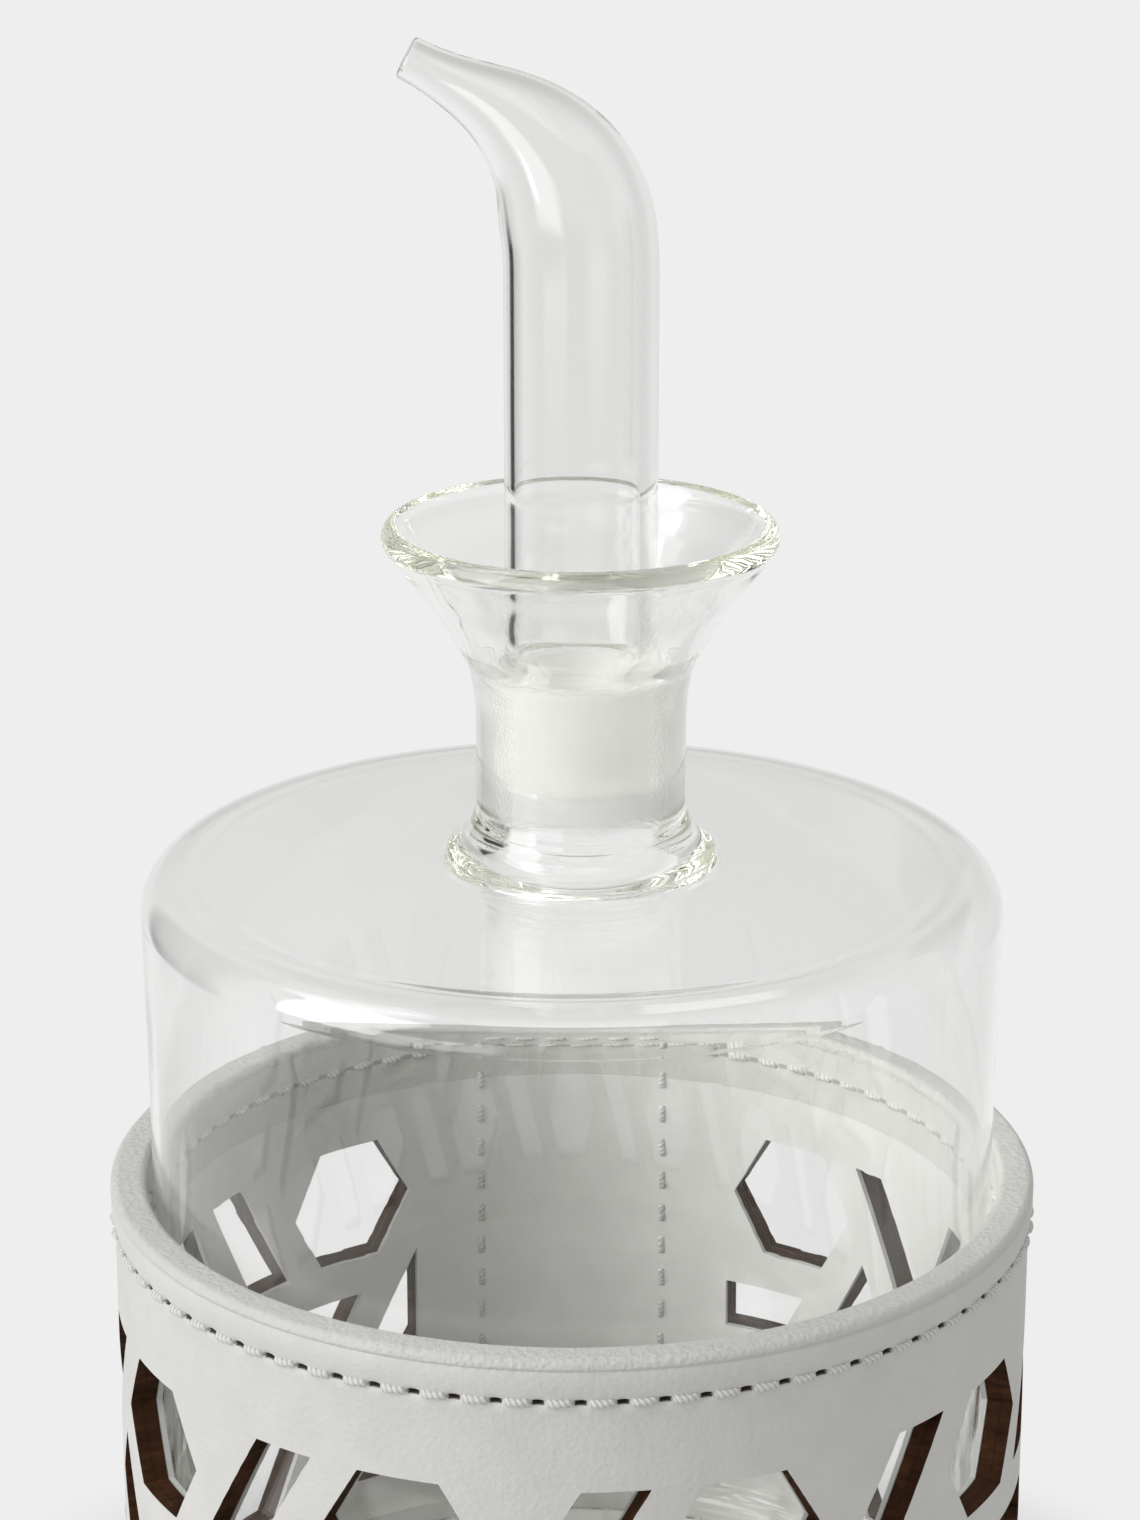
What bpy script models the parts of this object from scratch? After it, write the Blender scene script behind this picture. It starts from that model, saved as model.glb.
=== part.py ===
"""A glass cruet in a cut-out leather sleeve, with a pouring spout ground into its neck.

Lengths are in metres and +Z is up. The flask, the spout and the sleeve share the Z axis. The cruet
stands on z = 0, the sleeve's seam faces +Y and the spout's nose points to -X.
"""

import math

import bmesh
import bpy
from mathutils import Matrix, Vector

MM = 0.001

# Flask: heights are above its own foot
FLASK_DIAMETER = 80.0 * MM
FLASK_WALL = 1.8 * MM
FLASK_FLOOR = 3.2 * MM
FLASK_FOOT_RECESS = 0.7 * MM
FLASK_FOOT_RADIUS = 5.0 * MM
SHOULDER_HEIGHT = 89.2 * MM
SHOULDER_RADIUS = 3.8 * MM
DOME_RISE = 0.9 * MM
NECK_DIAMETER = 19.3 * MM
NECK_LENGTH = 18.1 * MM
NECK_FLARE = 2.4 * MM
NECK_FLARE_RADIUS = 4.0 * MM
COLLAR_DIAMETER = 24.9 * MM
COLLAR_HEIGHT = 0.8 * MM
FUNNEL_DIAMETER = 36.2 * MM
FUNNEL_HEIGHT = 13.8 * MM
FUNNEL_LIP = 2.2 * MM
FUNNEL_RIM = 1.5 * MM
FUNNEL_SWEEP = 12.0 * MM

# Spout: heights are above the foot of its ground cone
SOCKET_ABOVE_DOME = 7.8 * MM
CONE_LENGTH = 11.0 * MM
CONE_TOP_DIAMETER = 15.8 * MM
CONE_TAPER = 0.1
GROUND_GAP = 0.2 * MM
TUBE_DIAMETER = 14.0 * MM
TUBE_WALL = 1.2 * MM
TUBE_RISE = 49.2 * MM
BEND_RADIUS = 14.0 * MM
BEND_ANGLE = math.radians(60.0)
NOSE_LENGTH = 9.2 * MM
TIP_DIAMETER = 4.1 * MM
TIP_WALL = 0.7 * MM
TAPER_POWER = 1.3

# Sleeve: a leather cover turned over a board core at both edges, with a thin lining
FLASK_PLAY = 0.3 * MM
LINING_THICKNESS = 0.6 * MM
CORE_THICKNESS = 1.0 * MM
COVER_THICKNESS = 1.1 * MM
GLUE_LINE = 0.15 * MM
LIP_DEPTH = 7.5 * MM
EDGE_ROLL = 0.35 * MM
EDGE_ROLL_DEPTH = 4.6 * MM
EDGE_RADIUS = 0.7 * MM
SEAM_GAP = 0.3 * MM
SEAM_STRAP_WIDTH = 26.0 * MM
SEAM_STRAP_THICKNESS = 1.3 * MM
SEAM_STRAP_INSET = 0.4 * MM
SEAM_STRAP_CORNER = 2.0 * MM

# Fretwork, laid out on the flat sheet before it is rolled
HEXAGON_SIDE = 7.4 * MM
CELL_PITCH = 29.95 * MM
SLOT_WIDTH = 5.1 * MM
FRETWORK_ROWS = 2
EDGE_BAND = 12.65 * MM
SEAM_PANEL_WIDTH = 35.0 * MM
SMALLEST_CUT = 2.0 * MM

# Base, from the table up
FOOT_PAD_THICKNESS = 1.2 * MM
FOOT_PAD_PROUD = 0.4 * MM
BASE_BOARD_THICKNESS = 2.5 * MM
BASE_LINING_THICKNESS = 0.8 * MM
REST_GAP = 0.3 * MM
DISC_EDGE = 0.3 * MM

# How finely round things are divided
ROUND_STEPS = 40
TUBE_SIDES = 20
ARC_STEP = math.radians(30.0)
BEND_STEPS = 8
NOSE_STEPS = 4
SHARP = math.radians(35.0)
WELD = 0.002 * MM

# Places that follow from the sizes
LIP_RADIUS = FLASK_DIAMETER / 2 + FLASK_PLAY
CORE_RADIUS = LIP_RADIUS + LINING_THICKNESS + GLUE_LINE
COVER_RADIUS = CORE_RADIUS + CORE_THICKNESS + GLUE_LINE
SLEEVE_RADIUS = COVER_RADIUS + COVER_THICKNESS
SHEET_RADIUS = CORE_RADIUS + CORE_THICKNESS / 2
HEXAGON_FLATS = HEXAGON_SIDE * math.sqrt(3.0)
ROW_PITCH = CELL_PITCH * math.sin(math.radians(60.0))
SLEEVE_HEIGHT = 2 * EDGE_BAND + HEXAGON_FLATS + (FRETWORK_ROWS - 1) * ROW_PITCH
SLEEVE_BOTTOM = FOOT_PAD_PROUD
SLEEVE_TOP = SLEEVE_BOTTOM + SLEEVE_HEIGHT
BASE_BOARD_Z = FOOT_PAD_THICKNESS + GLUE_LINE
BASE_LINING_Z = BASE_BOARD_Z + BASE_BOARD_THICKNESS + GLUE_LINE
FLASK_Z = BASE_LINING_Z + BASE_LINING_THICKNESS + REST_GAP
DISC_RADIUS = LIP_RADIUS - REST_GAP
COLLAR_Z = SHOULDER_HEIGHT + DOME_RISE
SOCKET_Z = COLLAR_Z + SOCKET_ABOVE_DOME
NECK_TOP_Z = COLLAR_Z + NECK_LENGTH
CONE_TOP_RADIUS = CONE_TOP_DIAMETER / 2
CONE_FOOT_RADIUS = CONE_TOP_RADIUS - CONE_LENGTH * CONE_TAPER / 2
TUBE_RADIUS = TUBE_DIAMETER / 2


def clear_scene():
    for old in list(bpy.data.objects):
        bpy.data.objects.remove(old)


def collection(name, hidden=False):
    made = bpy.data.collections.new(name)
    made.hide_render = hidden
    bpy.context.scene.collection.children.link(made)
    return made


def material(name, colour, roughness, metallic=0.0, transmission=0.0):
    made = bpy.data.materials.new(name)
    made.use_nodes = True
    shader = made.node_tree.nodes["Principled BSDF"]
    shader.inputs["Base Color"].default_value = (*colour, 1.0)
    shader.inputs["Roughness"].default_value = roughness
    shader.inputs["Metallic"].default_value = metallic
    shader.inputs["Transmission Weight"].default_value = transmission
    return made


def add_object(name, mesh, home, finish=None, location=(0.0, 0.0, 0.0)):
    made = bpy.data.objects.new(name, mesh)
    made.location = location
    home.objects.link(made)
    if finish:
        mesh.materials.append(finish)
    return made


def rounded_line(corners, closed=False):
    """The line through corners (r, z) or (r, z, radius), with an arc at each corner that has a radius."""
    line = []
    count = len(corners)
    for index, corner in enumerate(corners):
        here = Vector(corner[:2])
        radius = corner[2] if len(corner) > 2 else 0.0
        at_end = not closed and index in (0, count - 1)
        if radius <= 0.0 or at_end:
            line.append(here)
            continue
        back = Vector(corners[index - 1][:2]) - here
        on = Vector(corners[(index + 1) % count][:2]) - here
        half = back.angle(on) / 2
        reach = min(radius / math.tan(half), back.length * 0.49, on.length * 0.49)
        radius = reach * math.tan(half)
        back.normalize()
        on.normalize()
        centre = here + (back + on).normalized() * radius / math.sin(half)
        start = here + back * reach - centre
        turn = start.angle_signed(here + on * reach - centre)
        steps = max(1, math.ceil(abs(turn) / ARC_STEP))
        for step in range(steps + 1):
            line.append(centre + Matrix.Rotation(-turn * step / steps, 2) @ start)
    return line


def settle(piece):
    """Makes the modifiers' result the piece's own mesh, smooth but for its corners."""
    graph = bpy.context.evaluated_depsgraph_get()
    mesh = bpy.data.meshes.new_from_object(piece.evaluated_get(graph))
    piece.modifiers.clear()
    piece.data = mesh
    mesh.name = piece.name
    mesh.shade_smooth()
    mesh.set_sharp_from_angle(angle=SHARP)


def turned(name, corners, home, finish=None, location=(0.0, 0.0, 0.0), closed=True):
    """A profile turned about Z. It runs down its outer side and, where it is closed, back up inside."""
    line = rounded_line(corners, closed)
    edges = [(i, i + 1) for i in range(len(line) - 1)]
    if closed:
        edges.append((len(line) - 1, 0))
    mesh = bpy.data.meshes.new(name)
    mesh.from_pydata([(r, 0.0, z) for r, z in line], edges, [])
    piece = add_object(name, mesh, home, finish, location)
    screw = piece.modifiers.new("Turn", "SCREW")
    screw.axis = "Z"
    screw.steps = ROUND_STEPS
    screw.render_steps = ROUND_STEPS
    screw.use_merge_vertices = True
    screw.merge_threshold = WELD
    return piece


def disc(name, radius, thickness, bottom, home, finish):
    """A round plate with softened edges."""
    mesh = bpy.data.meshes.new(name)
    shape = bmesh.new()
    bmesh.ops.create_cone(
        shape, cap_ends=True, segments=ROUND_STEPS, radius1=radius, radius2=radius, depth=thickness
    )
    rims = [edge for edge in shape.edges if edge.calc_face_angle() > math.radians(60.0)]
    bmesh.ops.bevel(shape, geom=rims, offset=DISC_EDGE, segments=1, affect="EDGES")
    shape.to_mesh(mesh)
    shape.free()
    piece = add_object(name, mesh, home, finish, (0.0, 0.0, bottom + thickness / 2))
    settle(piece)
    return piece


def punched_cutter(name, outlines, inner, outer, home):
    """One cutter of many prisms: each flat outline is rolled onto the sheet and punched straight through."""
    mesh = bpy.data.meshes.new(name)
    shape = bmesh.new()
    for outline in outlines:
        middle = sum(x for x, _ in outline) / len(outline) / SHEET_RADIUS
        outwards = Vector((math.sin(middle), -math.cos(middle), 0.0))
        corners = []
        for x, z in outline:
            angle = x / SHEET_RADIUS
            on_sheet = Vector((math.sin(angle) * SHEET_RADIUS, -math.cos(angle) * SHEET_RADIUS, z))
            corners.append(shape.verts.new(on_sheet + outwards * (inner - SHEET_RADIUS)))
        raised = bmesh.ops.extrude_face_region(shape, geom=[shape.faces.new(corners)])["geom"]
        raised = [part for part in raised if isinstance(part, bmesh.types.BMVert)]
        bmesh.ops.translate(shape, verts=raised, vec=outwards * (outer - inner))
    shape.normal_update()
    bmesh.ops.recalc_face_normals(shape, faces=shape.faces)
    shape.to_mesh(mesh)
    shape.free()
    return hidden(add_object(name, mesh, home))


def block_cutter(name, size, centre, home, corner=0.0):
    """A box whose edges along Y may be rounded."""
    mesh = bpy.data.meshes.new(name)
    shape = bmesh.new()
    bmesh.ops.create_cube(shape, size=1.0, matrix=Matrix.LocRotScale(centre, None, size))
    if corner > 0.0:
        along = [edge for edge in shape.edges if abs((edge.verts[0].co - edge.verts[1].co).y) > size.y / 2]
        bmesh.ops.bevel(shape, geom=along, offset=corner, segments=3, profile=0.5, affect="EDGES")
    shape.to_mesh(mesh)
    shape.free()
    return hidden(add_object(name, mesh, home))


def hidden(cutter):
    cutter.hide_render = True
    cutter.display_type = "WIRE"
    return cutter


def cut(piece, cutter, operation="DIFFERENCE", solver="EXACT"):
    boolean = piece.modifiers.new(cutter.name, "BOOLEAN")
    boolean.operation = operation
    boolean.solver = solver
    boolean.object = cutter


def clipped(outline, low, high):
    """The part of an outline that lies between two upright lines."""
    for limit, side in ((low, 1.0), (high, -1.0)):
        kept = []
        for index, (x, z) in enumerate(outline):
            before_x, before_z = outline[index - 1]
            inside = (x - limit) * side >= 0.0
            if inside != ((before_x - limit) * side >= 0.0):
                share = (limit - before_x) / (x - before_x)
                kept.append((limit, before_z + share * (z - before_z)))
            if inside:
                kept.append((x, z))
        outline = kept
    return outline


def hexagon(centre):
    """A hexagon with level top and bottom edges."""
    turns = [math.radians(60.0 * k) for k in range(6)]
    return [centre + HEXAGON_SIDE * Vector((math.cos(a), math.sin(a))) for a in turns]


def slot(centre, turn):
    """A slanted slot as long as two hexagon sides, between level ends, turned about its centre."""
    rise = HEXAGON_FLATS / 2
    half = SLOT_WIDTH / math.sqrt(3.0)
    lean = rise / math.tan(math.radians(60.0))
    corners = ((lean + half, rise), (lean - half, rise), (-lean - half, -rise), (-lean + half, -rise))
    return [centre + Matrix.Rotation(turn, 2) @ Vector(corner) for corner in corners]


def fretwork():
    """A hexagon on each point of a triangular grid and a slot between each pair of neighbours.

    A slot leans 60 degrees from the line between its two hexagons, so the slots turn like a
    pinwheel round each hexagon. The pattern stops at the plain panel that carries the seam.
    """
    edge = math.pi * SHEET_RADIUS - SEAM_PANEL_WIDTH / 2
    columns = math.ceil(edge / CELL_PITCH) + 1
    top_row = SLEEVE_TOP - EDGE_BAND - HEXAGON_FLATS / 2
    outlines = []
    for row in range(FRETWORK_ROWS):
        shift = 0.5 if row % 2 == 0 else 0.0
        for column in range(-columns, columns + 1):
            centre = Vector(((column + shift) * CELL_PITCH, top_row - row * ROW_PITCH))
            outlines.append(hexagon(centre))
            for direction in (0, -60, -120):
                if direction and row == FRETWORK_ROWS - 1:
                    continue
                turn = math.radians(direction)
                neighbour = Vector((math.cos(turn), math.sin(turn))) * CELL_PITCH
                outlines.append(slot(centre + neighbour / 2, turn))
    outlines = [clipped([tuple(point) for point in outline], -edge, edge) for outline in outlines]
    return [o for o in outlines if o and max(x for x, _ in o) - min(x for x, _ in o) > SMALLEST_CUT]


def rolled_edge(offset, top, bottom):
    """The sleeve's outer side, top to bottom, moved outwards by an offset: proud at both edges."""
    proud = SLEEVE_RADIUS + EDGE_ROLL + offset
    plain = SLEEVE_RADIUS + offset
    ramp = EDGE_ROLL_DEPTH - 2 * EDGE_ROLL
    return [
        (proud, top, EDGE_RADIUS),
        (proud, SLEEVE_TOP - ramp),
        (plain, SLEEVE_TOP - EDGE_ROLL_DEPTH),
        (plain, SLEEVE_BOTTOM + EDGE_ROLL_DEPTH),
        (proud, SLEEVE_BOTTOM + ramp),
        (proud, bottom, EDGE_RADIUS),
    ]


def sleeve(parts, cutters, leather, board, lining_leather):
    """The rolled sheet: cover, core and lining, cut through together, and the strap over the seam."""
    lip_back = LIP_RADIUS + LINING_THICKNESS
    fold = COVER_THICKNESS
    cover_corners = rolled_edge(0.0, SLEEVE_TOP, SLEEVE_BOTTOM) + [
        (LIP_RADIUS, SLEEVE_BOTTOM, EDGE_RADIUS),
        (LIP_RADIUS, SLEEVE_BOTTOM + LIP_DEPTH),
        (lip_back, SLEEVE_BOTTOM + LIP_DEPTH),
        (lip_back, SLEEVE_BOTTOM + fold),
        (COVER_RADIUS, SLEEVE_BOTTOM + fold),
        (COVER_RADIUS, SLEEVE_TOP - fold),
        (lip_back, SLEEVE_TOP - fold),
        (lip_back, SLEEVE_TOP - LIP_DEPTH),
        (LIP_RADIUS, SLEEVE_TOP - LIP_DEPTH),
        (LIP_RADIUS, SLEEVE_TOP, EDGE_RADIUS),
    ]
    core_top = SLEEVE_TOP - fold - GLUE_LINE
    core_bottom = SLEEVE_BOTTOM + fold + GLUE_LINE
    core_corners = [
        (CORE_RADIUS + CORE_THICKNESS, core_top),
        (CORE_RADIUS + CORE_THICKNESS, core_bottom),
        (CORE_RADIUS, core_bottom),
        (CORE_RADIUS, core_top),
    ]
    lining_top = SLEEVE_TOP - LIP_DEPTH - GLUE_LINE
    lining_bottom = SLEEVE_BOTTOM + LIP_DEPTH + GLUE_LINE
    lining_corners = [
        (lip_back, lining_top),
        (lip_back, lining_bottom),
        (LIP_RADIUS, lining_bottom),
        (LIP_RADIUS, lining_top),
    ]
    strap_in = GLUE_LINE
    strap_out = GLUE_LINE + SEAM_STRAP_THICKNESS
    strap_top = SLEEVE_TOP - SEAM_STRAP_INSET
    strap_bottom = SLEEVE_BOTTOM + SEAM_STRAP_INSET
    strap_corners = rolled_edge(strap_out, strap_top, strap_bottom) + [
        corner[:2] for corner in reversed(rolled_edge(strap_in, strap_top, strap_bottom))
    ]

    far = SLEEVE_RADIUS + EDGE_ROLL + strap_out + REST_GAP
    frets = punched_cutter("fretwork_cutter", fretwork(), LIP_RADIUS - COVER_THICKNESS, far, cutters)
    seam_size = Vector((SEAM_GAP, far, 2 * SLEEVE_HEIGHT))
    seam = block_cutter("seam_cutter", seam_size, Vector((0.0, far, SLEEVE_TOP / 2)), cutters)
    strap_size = Vector((SEAM_STRAP_WIDTH, far, strap_top - strap_bottom))
    strap_centre = Vector((0.0, far, (strap_top + strap_bottom) / 2))
    strap_outline = block_cutter("strap_outline", strap_size, strap_centre, cutters, SEAM_STRAP_CORNER)

    cover = turned("sleeve_cover", cover_corners, parts, leather)
    core = turned("sleeve_core", core_corners, parts, board)
    lining = turned("sleeve_lining", lining_corners, parts, lining_leather)
    strap = turned("seam_strap", strap_corners, parts, leather)
    for piece in (cover, core, lining):
        # The exact solver loses walls of the lining here
        cut(piece, frets, solver="MANIFOLD")
    for piece in (cover, core):
        cut(piece, seam)
    cut(strap, strap_outline, "INTERSECT")
    for piece in (cover, core, lining, strap):
        settle(piece)


def base(parts, board, lining_leather, felt):
    """The discs that close the sleeve's lower end and carry the flask."""
    disc("foot_pad", DISC_RADIUS, FOOT_PAD_THICKNESS, 0.0, parts, felt)
    disc("base_board", DISC_RADIUS, BASE_BOARD_THICKNESS, BASE_BOARD_Z, parts, board)
    disc("base_lining", DISC_RADIUS, BASE_LINING_THICKNESS, BASE_LINING_Z, parts, lining_leather)


def flask(parts, glass):
    """The blown flask: one wall from the middle of the floor, up inside, over the lip and down outside."""
    radius = FLASK_DIAMETER / 2
    inside = radius - FLASK_WALL
    neck = NECK_DIAMETER / 2
    collar = COLLAR_DIAMETER / 2
    collar_top = COLLAR_Z + COLLAR_HEIGHT
    lip_out = FUNNEL_DIAMETER / 2
    lip_in = lip_out - FUNNEL_LIP
    lip_top = NECK_TOP_Z + FUNNEL_HEIGHT
    lip_round = FUNNEL_LIP / 2
    socket_foot = CONE_FOOT_RADIUS + GROUND_GAP
    socket_top = CONE_TOP_RADIUS + GROUND_GAP
    foot_ring = radius - 2 * FLASK_FOOT_RADIUS
    corners = [
        (0.0, FLASK_FLOOR),
        (inside, FLASK_FLOOR, FLASK_FOOT_RADIUS - FLASK_WALL),
        (inside, SHOULDER_HEIGHT - FLASK_WALL, SHOULDER_RADIUS - FLASK_WALL),
        (socket_foot, COLLAR_Z - FLASK_WALL, FLASK_WALL),
        (socket_foot, SOCKET_Z),
        (socket_top, SOCKET_Z + CONE_LENGTH),
        (lip_in, lip_top, lip_round),
        (lip_out, lip_top, lip_round),
        (lip_out, lip_top - FUNNEL_RIM),
        (neck, NECK_TOP_Z, FUNNEL_SWEEP),
        (neck, collar_top + NECK_FLARE, NECK_FLARE_RADIUS),
        (collar, collar_top),
        (collar, COLLAR_Z),
        (radius, SHOULDER_HEIGHT, SHOULDER_RADIUS),
        (radius, 0.0, FLASK_FOOT_RADIUS),
        (foot_ring, 0.0, FLASK_FOOT_RADIUS),
        (foot_ring / 2, FLASK_FOOT_RECESS, FLASK_FOOT_RADIUS),
        (0.0, FLASK_FOOT_RECESS),
    ]
    piece = turned("glass_flask", corners, parts, glass, (0.0, 0.0, FLASK_Z), closed=False)
    settle(piece)
    return piece


def spout_line():
    """Points (x, z) and radii up the spout's middle: a straight tube, a bend, then the nose."""
    bend_length = BEND_RADIUS * BEND_ANGLE
    taper_length = bend_length + NOSE_LENGTH
    tip_radius = TIP_DIAMETER / 2
    end = Vector((-BEND_RADIUS * (1 - math.cos(BEND_ANGLE)), TUBE_RISE + BEND_RADIUS * math.sin(BEND_ANGLE)))
    ahead = Vector((-math.sin(BEND_ANGLE), math.cos(BEND_ANGLE)))
    points = []
    along = []
    for step in range(BEND_STEPS + 1):
        angle = BEND_ANGLE * step / BEND_STEPS
        x = -BEND_RADIUS * (1 - math.cos(angle))
        points.append(Vector((x, TUBE_RISE + BEND_RADIUS * math.sin(angle))))
        along.append(BEND_RADIUS * angle)
    for step in range(1, NOSE_STEPS + 1):
        run = NOSE_LENGTH * step / NOSE_STEPS
        points.append(end + ahead * run)
        along.append(bend_length + run)
    radii = []
    for distance in along:
        share = max(0.0, math.cos(math.pi / 2 * distance / taper_length))
        radii.append(tip_radius + (TUBE_RADIUS - tip_radius) * share**TAPER_POWER)
    return points, radii, ahead


def tube(name, points, radii, home):
    """A round bar along points (x, z), each with its own radius, as a closed mesh."""
    curve = bpy.data.curves.new(name, "CURVE")
    curve.dimensions = "3D"
    curve.bevel_depth = 1.0
    curve.bevel_resolution = (TUBE_SIDES - 4) // 2
    curve.use_fill_caps = True
    spline = curve.splines.new("POLY")
    spline.points.add(len(points) - 1)
    for place, (x, z), radius in zip(spline.points, points, radii):
        place.co = (x, 0.0, z, 1.0)
        place.radius = radius
    guide = add_object(name + "_guide", curve, home)
    graph = bpy.context.evaluated_depsgraph_get()
    mesh = bpy.data.meshes.new_from_object(guide.evaluated_get(graph))
    bpy.data.objects.remove(guide)
    shape = bmesh.new()
    shape.from_mesh(mesh)
    bmesh.ops.remove_doubles(shape, verts=shape.verts, dist=WELD)
    bmesh.ops.recalc_face_normals(shape, faces=shape.faces)
    shape.to_mesh(mesh)
    shape.free()
    mesh.name = name
    return add_object(name, mesh, home)


def spout(parts, cutters, glass, carrier):
    """The pouring spout: a ground cone under a straight tube that bends over into a tapered nose."""
    line, radii, ahead = spout_line()
    shoulder = CONE_TOP_RADIUS - TUBE_RADIUS
    foot = [
        (0.0, CONE_FOOT_RADIUS),
        (CONE_LENGTH, CONE_TOP_RADIUS),
        (CONE_LENGTH + shoulder / 2, CONE_TOP_RADIUS - shoulder / 6),
        (CONE_LENGTH + shoulder, CONE_TOP_RADIUS - shoulder / 2),
        (CONE_LENGTH + 2 * shoulder, TUBE_RADIUS),
    ]
    outer_points = [(0.0, z) for z, _ in foot] + line
    outer_radii = [radius for _, radius in foot] + radii
    piece = tube("pour_spout", outer_points, outer_radii, parts)

    tip_radius = TIP_DIAMETER / 2
    thinning = (TUBE_WALL - TIP_WALL) / (TUBE_RADIUS - tip_radius)
    bores = [radius - TIP_WALL - thinning * (radius - tip_radius) for radius in radii]
    bore_points = [(0.0, -REST_GAP), *line[:-1], line[-1] + ahead * REST_GAP]
    bore_radii = [TUBE_RADIUS - TUBE_WALL, *bores]
    bore = hidden(tube("spout_bore", bore_points, bore_radii, cutters))
    cut(piece, bore)
    piece.data.materials.append(glass)
    piece.parent = carrier
    piece.location = (0.0, 0.0, SOCKET_Z)
    bore.parent = carrier
    bore.location = piece.location
    bpy.context.view_layer.update()
    settle(piece)


def main():
    clear_scene()
    parts = collection("Cruet")
    cutters = collection("Cutters")
    leather = material("white leather", (0.66, 0.65, 0.61), 0.55)
    lining_leather = material("lining leather", (0.60, 0.60, 0.57), 0.6)
    board = material("brown board", (0.14, 0.055, 0.03), 0.8)
    felt = material("grey felt", (0.30, 0.30, 0.28), 0.95)
    glass = material("clear glass", (0.93, 0.96, 0.94), 0.03, transmission=1.0)
    sleeve(parts, cutters, leather, board, lining_leather)
    base(parts, board, lining_leather, felt)
    spout(parts, cutters, glass, flask(parts, glass))


main()
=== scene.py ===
# %% [markdown]
# # A glass cruet in a cut-out leather sleeve
# The real object is a blown glass flask with a funnel on its neck. A bent pouring spout stands in
# the neck on a ground joint, and the flask stands in a stitched leather sleeve with hexagons and
# slots cut through it.
#
# The measured solids come first. They fix every size, and the pieces below are finer versions of
# them in the same place.

# %% Load the measured solids
import math

import bmesh
import bpy
import numpy as np
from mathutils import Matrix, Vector


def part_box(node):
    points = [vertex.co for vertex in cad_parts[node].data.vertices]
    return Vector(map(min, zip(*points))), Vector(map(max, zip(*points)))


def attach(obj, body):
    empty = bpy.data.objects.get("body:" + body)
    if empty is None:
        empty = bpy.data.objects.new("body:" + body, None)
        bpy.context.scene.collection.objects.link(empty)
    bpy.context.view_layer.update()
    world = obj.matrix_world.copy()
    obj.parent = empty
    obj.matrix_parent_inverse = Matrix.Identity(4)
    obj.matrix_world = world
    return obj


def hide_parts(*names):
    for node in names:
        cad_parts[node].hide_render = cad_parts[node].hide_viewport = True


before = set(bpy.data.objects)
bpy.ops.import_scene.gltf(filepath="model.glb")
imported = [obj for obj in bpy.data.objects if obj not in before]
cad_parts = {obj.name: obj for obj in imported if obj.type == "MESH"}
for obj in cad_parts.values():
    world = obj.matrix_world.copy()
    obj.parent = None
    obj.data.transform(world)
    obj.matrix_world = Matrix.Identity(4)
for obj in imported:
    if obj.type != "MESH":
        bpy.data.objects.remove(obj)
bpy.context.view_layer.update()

# %% [markdown]
# ## Sizes
# Heights come from the solids' own boxes, so the fine pieces follow them. The rest are the sizes a
# maker would write on a drawing, in millimetres. Everything is round about the Z axis. An angle of
# 0 faces the camera, along -Y, and grows towards +X, to the right.

# %% Name the sizes
MM = 0.001
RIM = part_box("sleeve_cover")[1].z
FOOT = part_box("sleeve_cover")[0].z
FLASK_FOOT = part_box("glass_flask")[0].z
JOINT_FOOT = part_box("pour_spout")[0].z

LIP_RADIUS = 40.3 * MM
LINING_OUTSIDE = 40.88 * MM
CORE_INSIDE = 40.92 * MM
CORE_OUTSIDE = 42.18 * MM
COVER_INSIDE = 42.2 * MM
SLEEVE_RADIUS = 43.3 * MM
SHEET_RADIUS = 41.55 * MM
EDGE_ROLL = 0.35 * MM
EDGE_CURVE = 0.8 * MM
COVER_THICKNESS = 1.1 * MM
LIP_DEPTH = 7.5 * MM
PLY_GAP = 0.02 * MM

HEXAGON_SIDE = 7.4 * MM
CELL_PITCH = 29.95 * MM
SLOT_WIDTH = 5.1 * MM
EDGE_BAND = 12.65 * MM
SEAM_PANEL_WIDTH = 35.0 * MM
SMALLEST_CUT = 2.0 * MM
HEXAGON_FLATS = HEXAGON_SIDE * math.sqrt(3.0)
ROW_PITCH = CELL_PITCH * math.sin(math.radians(60.0))
FRETWORK_ROWS = 1 + round((RIM - FOOT - 2 * EDGE_BAND - HEXAGON_FLATS) / ROW_PITCH)

STITCHES_ROUND = 74
STITCH_PITCH = 2 * math.pi / STITCHES_ROUND
STITCH_PHASE = math.radians(0.98)
STITCH_DEPTH = 4.09 * MM
STITCH_ROWS = (RIM - STITCH_DEPTH, FOOT + STITCH_DEPTH)
STITCH_LENGTH = 2.75 * MM
THREAD_RADIUS = 0.36 * MM
print("rim at %.2f mm, %d rows of hexagons, %.2f mm from stitch to stitch"
      % (RIM / MM, FRETWORK_ROWS, STITCH_PITCH * SLEEVE_RADIUS / MM))

# %% [markdown]
# ## Skins over rings
# Most pieces here are tubes of some kind: a row of rings, each with the same number of points. A
# skin joins neighbouring rings with four-sided faces. The arrays are worked out whole and handed
# to the mesh in one go, which is far quicker than adding points one at a time. A ring that shrinks
# to a point is merged, so that poles are closed.

# %% Make a skin from rings of points
MERGE = 0.0001 * MM


def new_mesh(name, points, faces, shares=None):
    """A mesh of these faces. shares holds a (u, v) pair for each corner of each face."""
    mesh = bpy.data.meshes.new(name)
    mesh.from_pydata(points, [], faces)
    if shares is not None:
        layer = mesh.uv_layers.new(name="Along")
        layer.data.foreach_set("uv", np.ascontiguousarray(shares, np.float32).ravel())
    return mesh


def changed(mesh, change):
    """Hands the mesh to change as a bmesh, and takes it back."""
    shape = bmesh.new()
    shape.from_mesh(mesh)
    change(shape)
    shape.to_mesh(mesh)
    shape.free()


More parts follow.
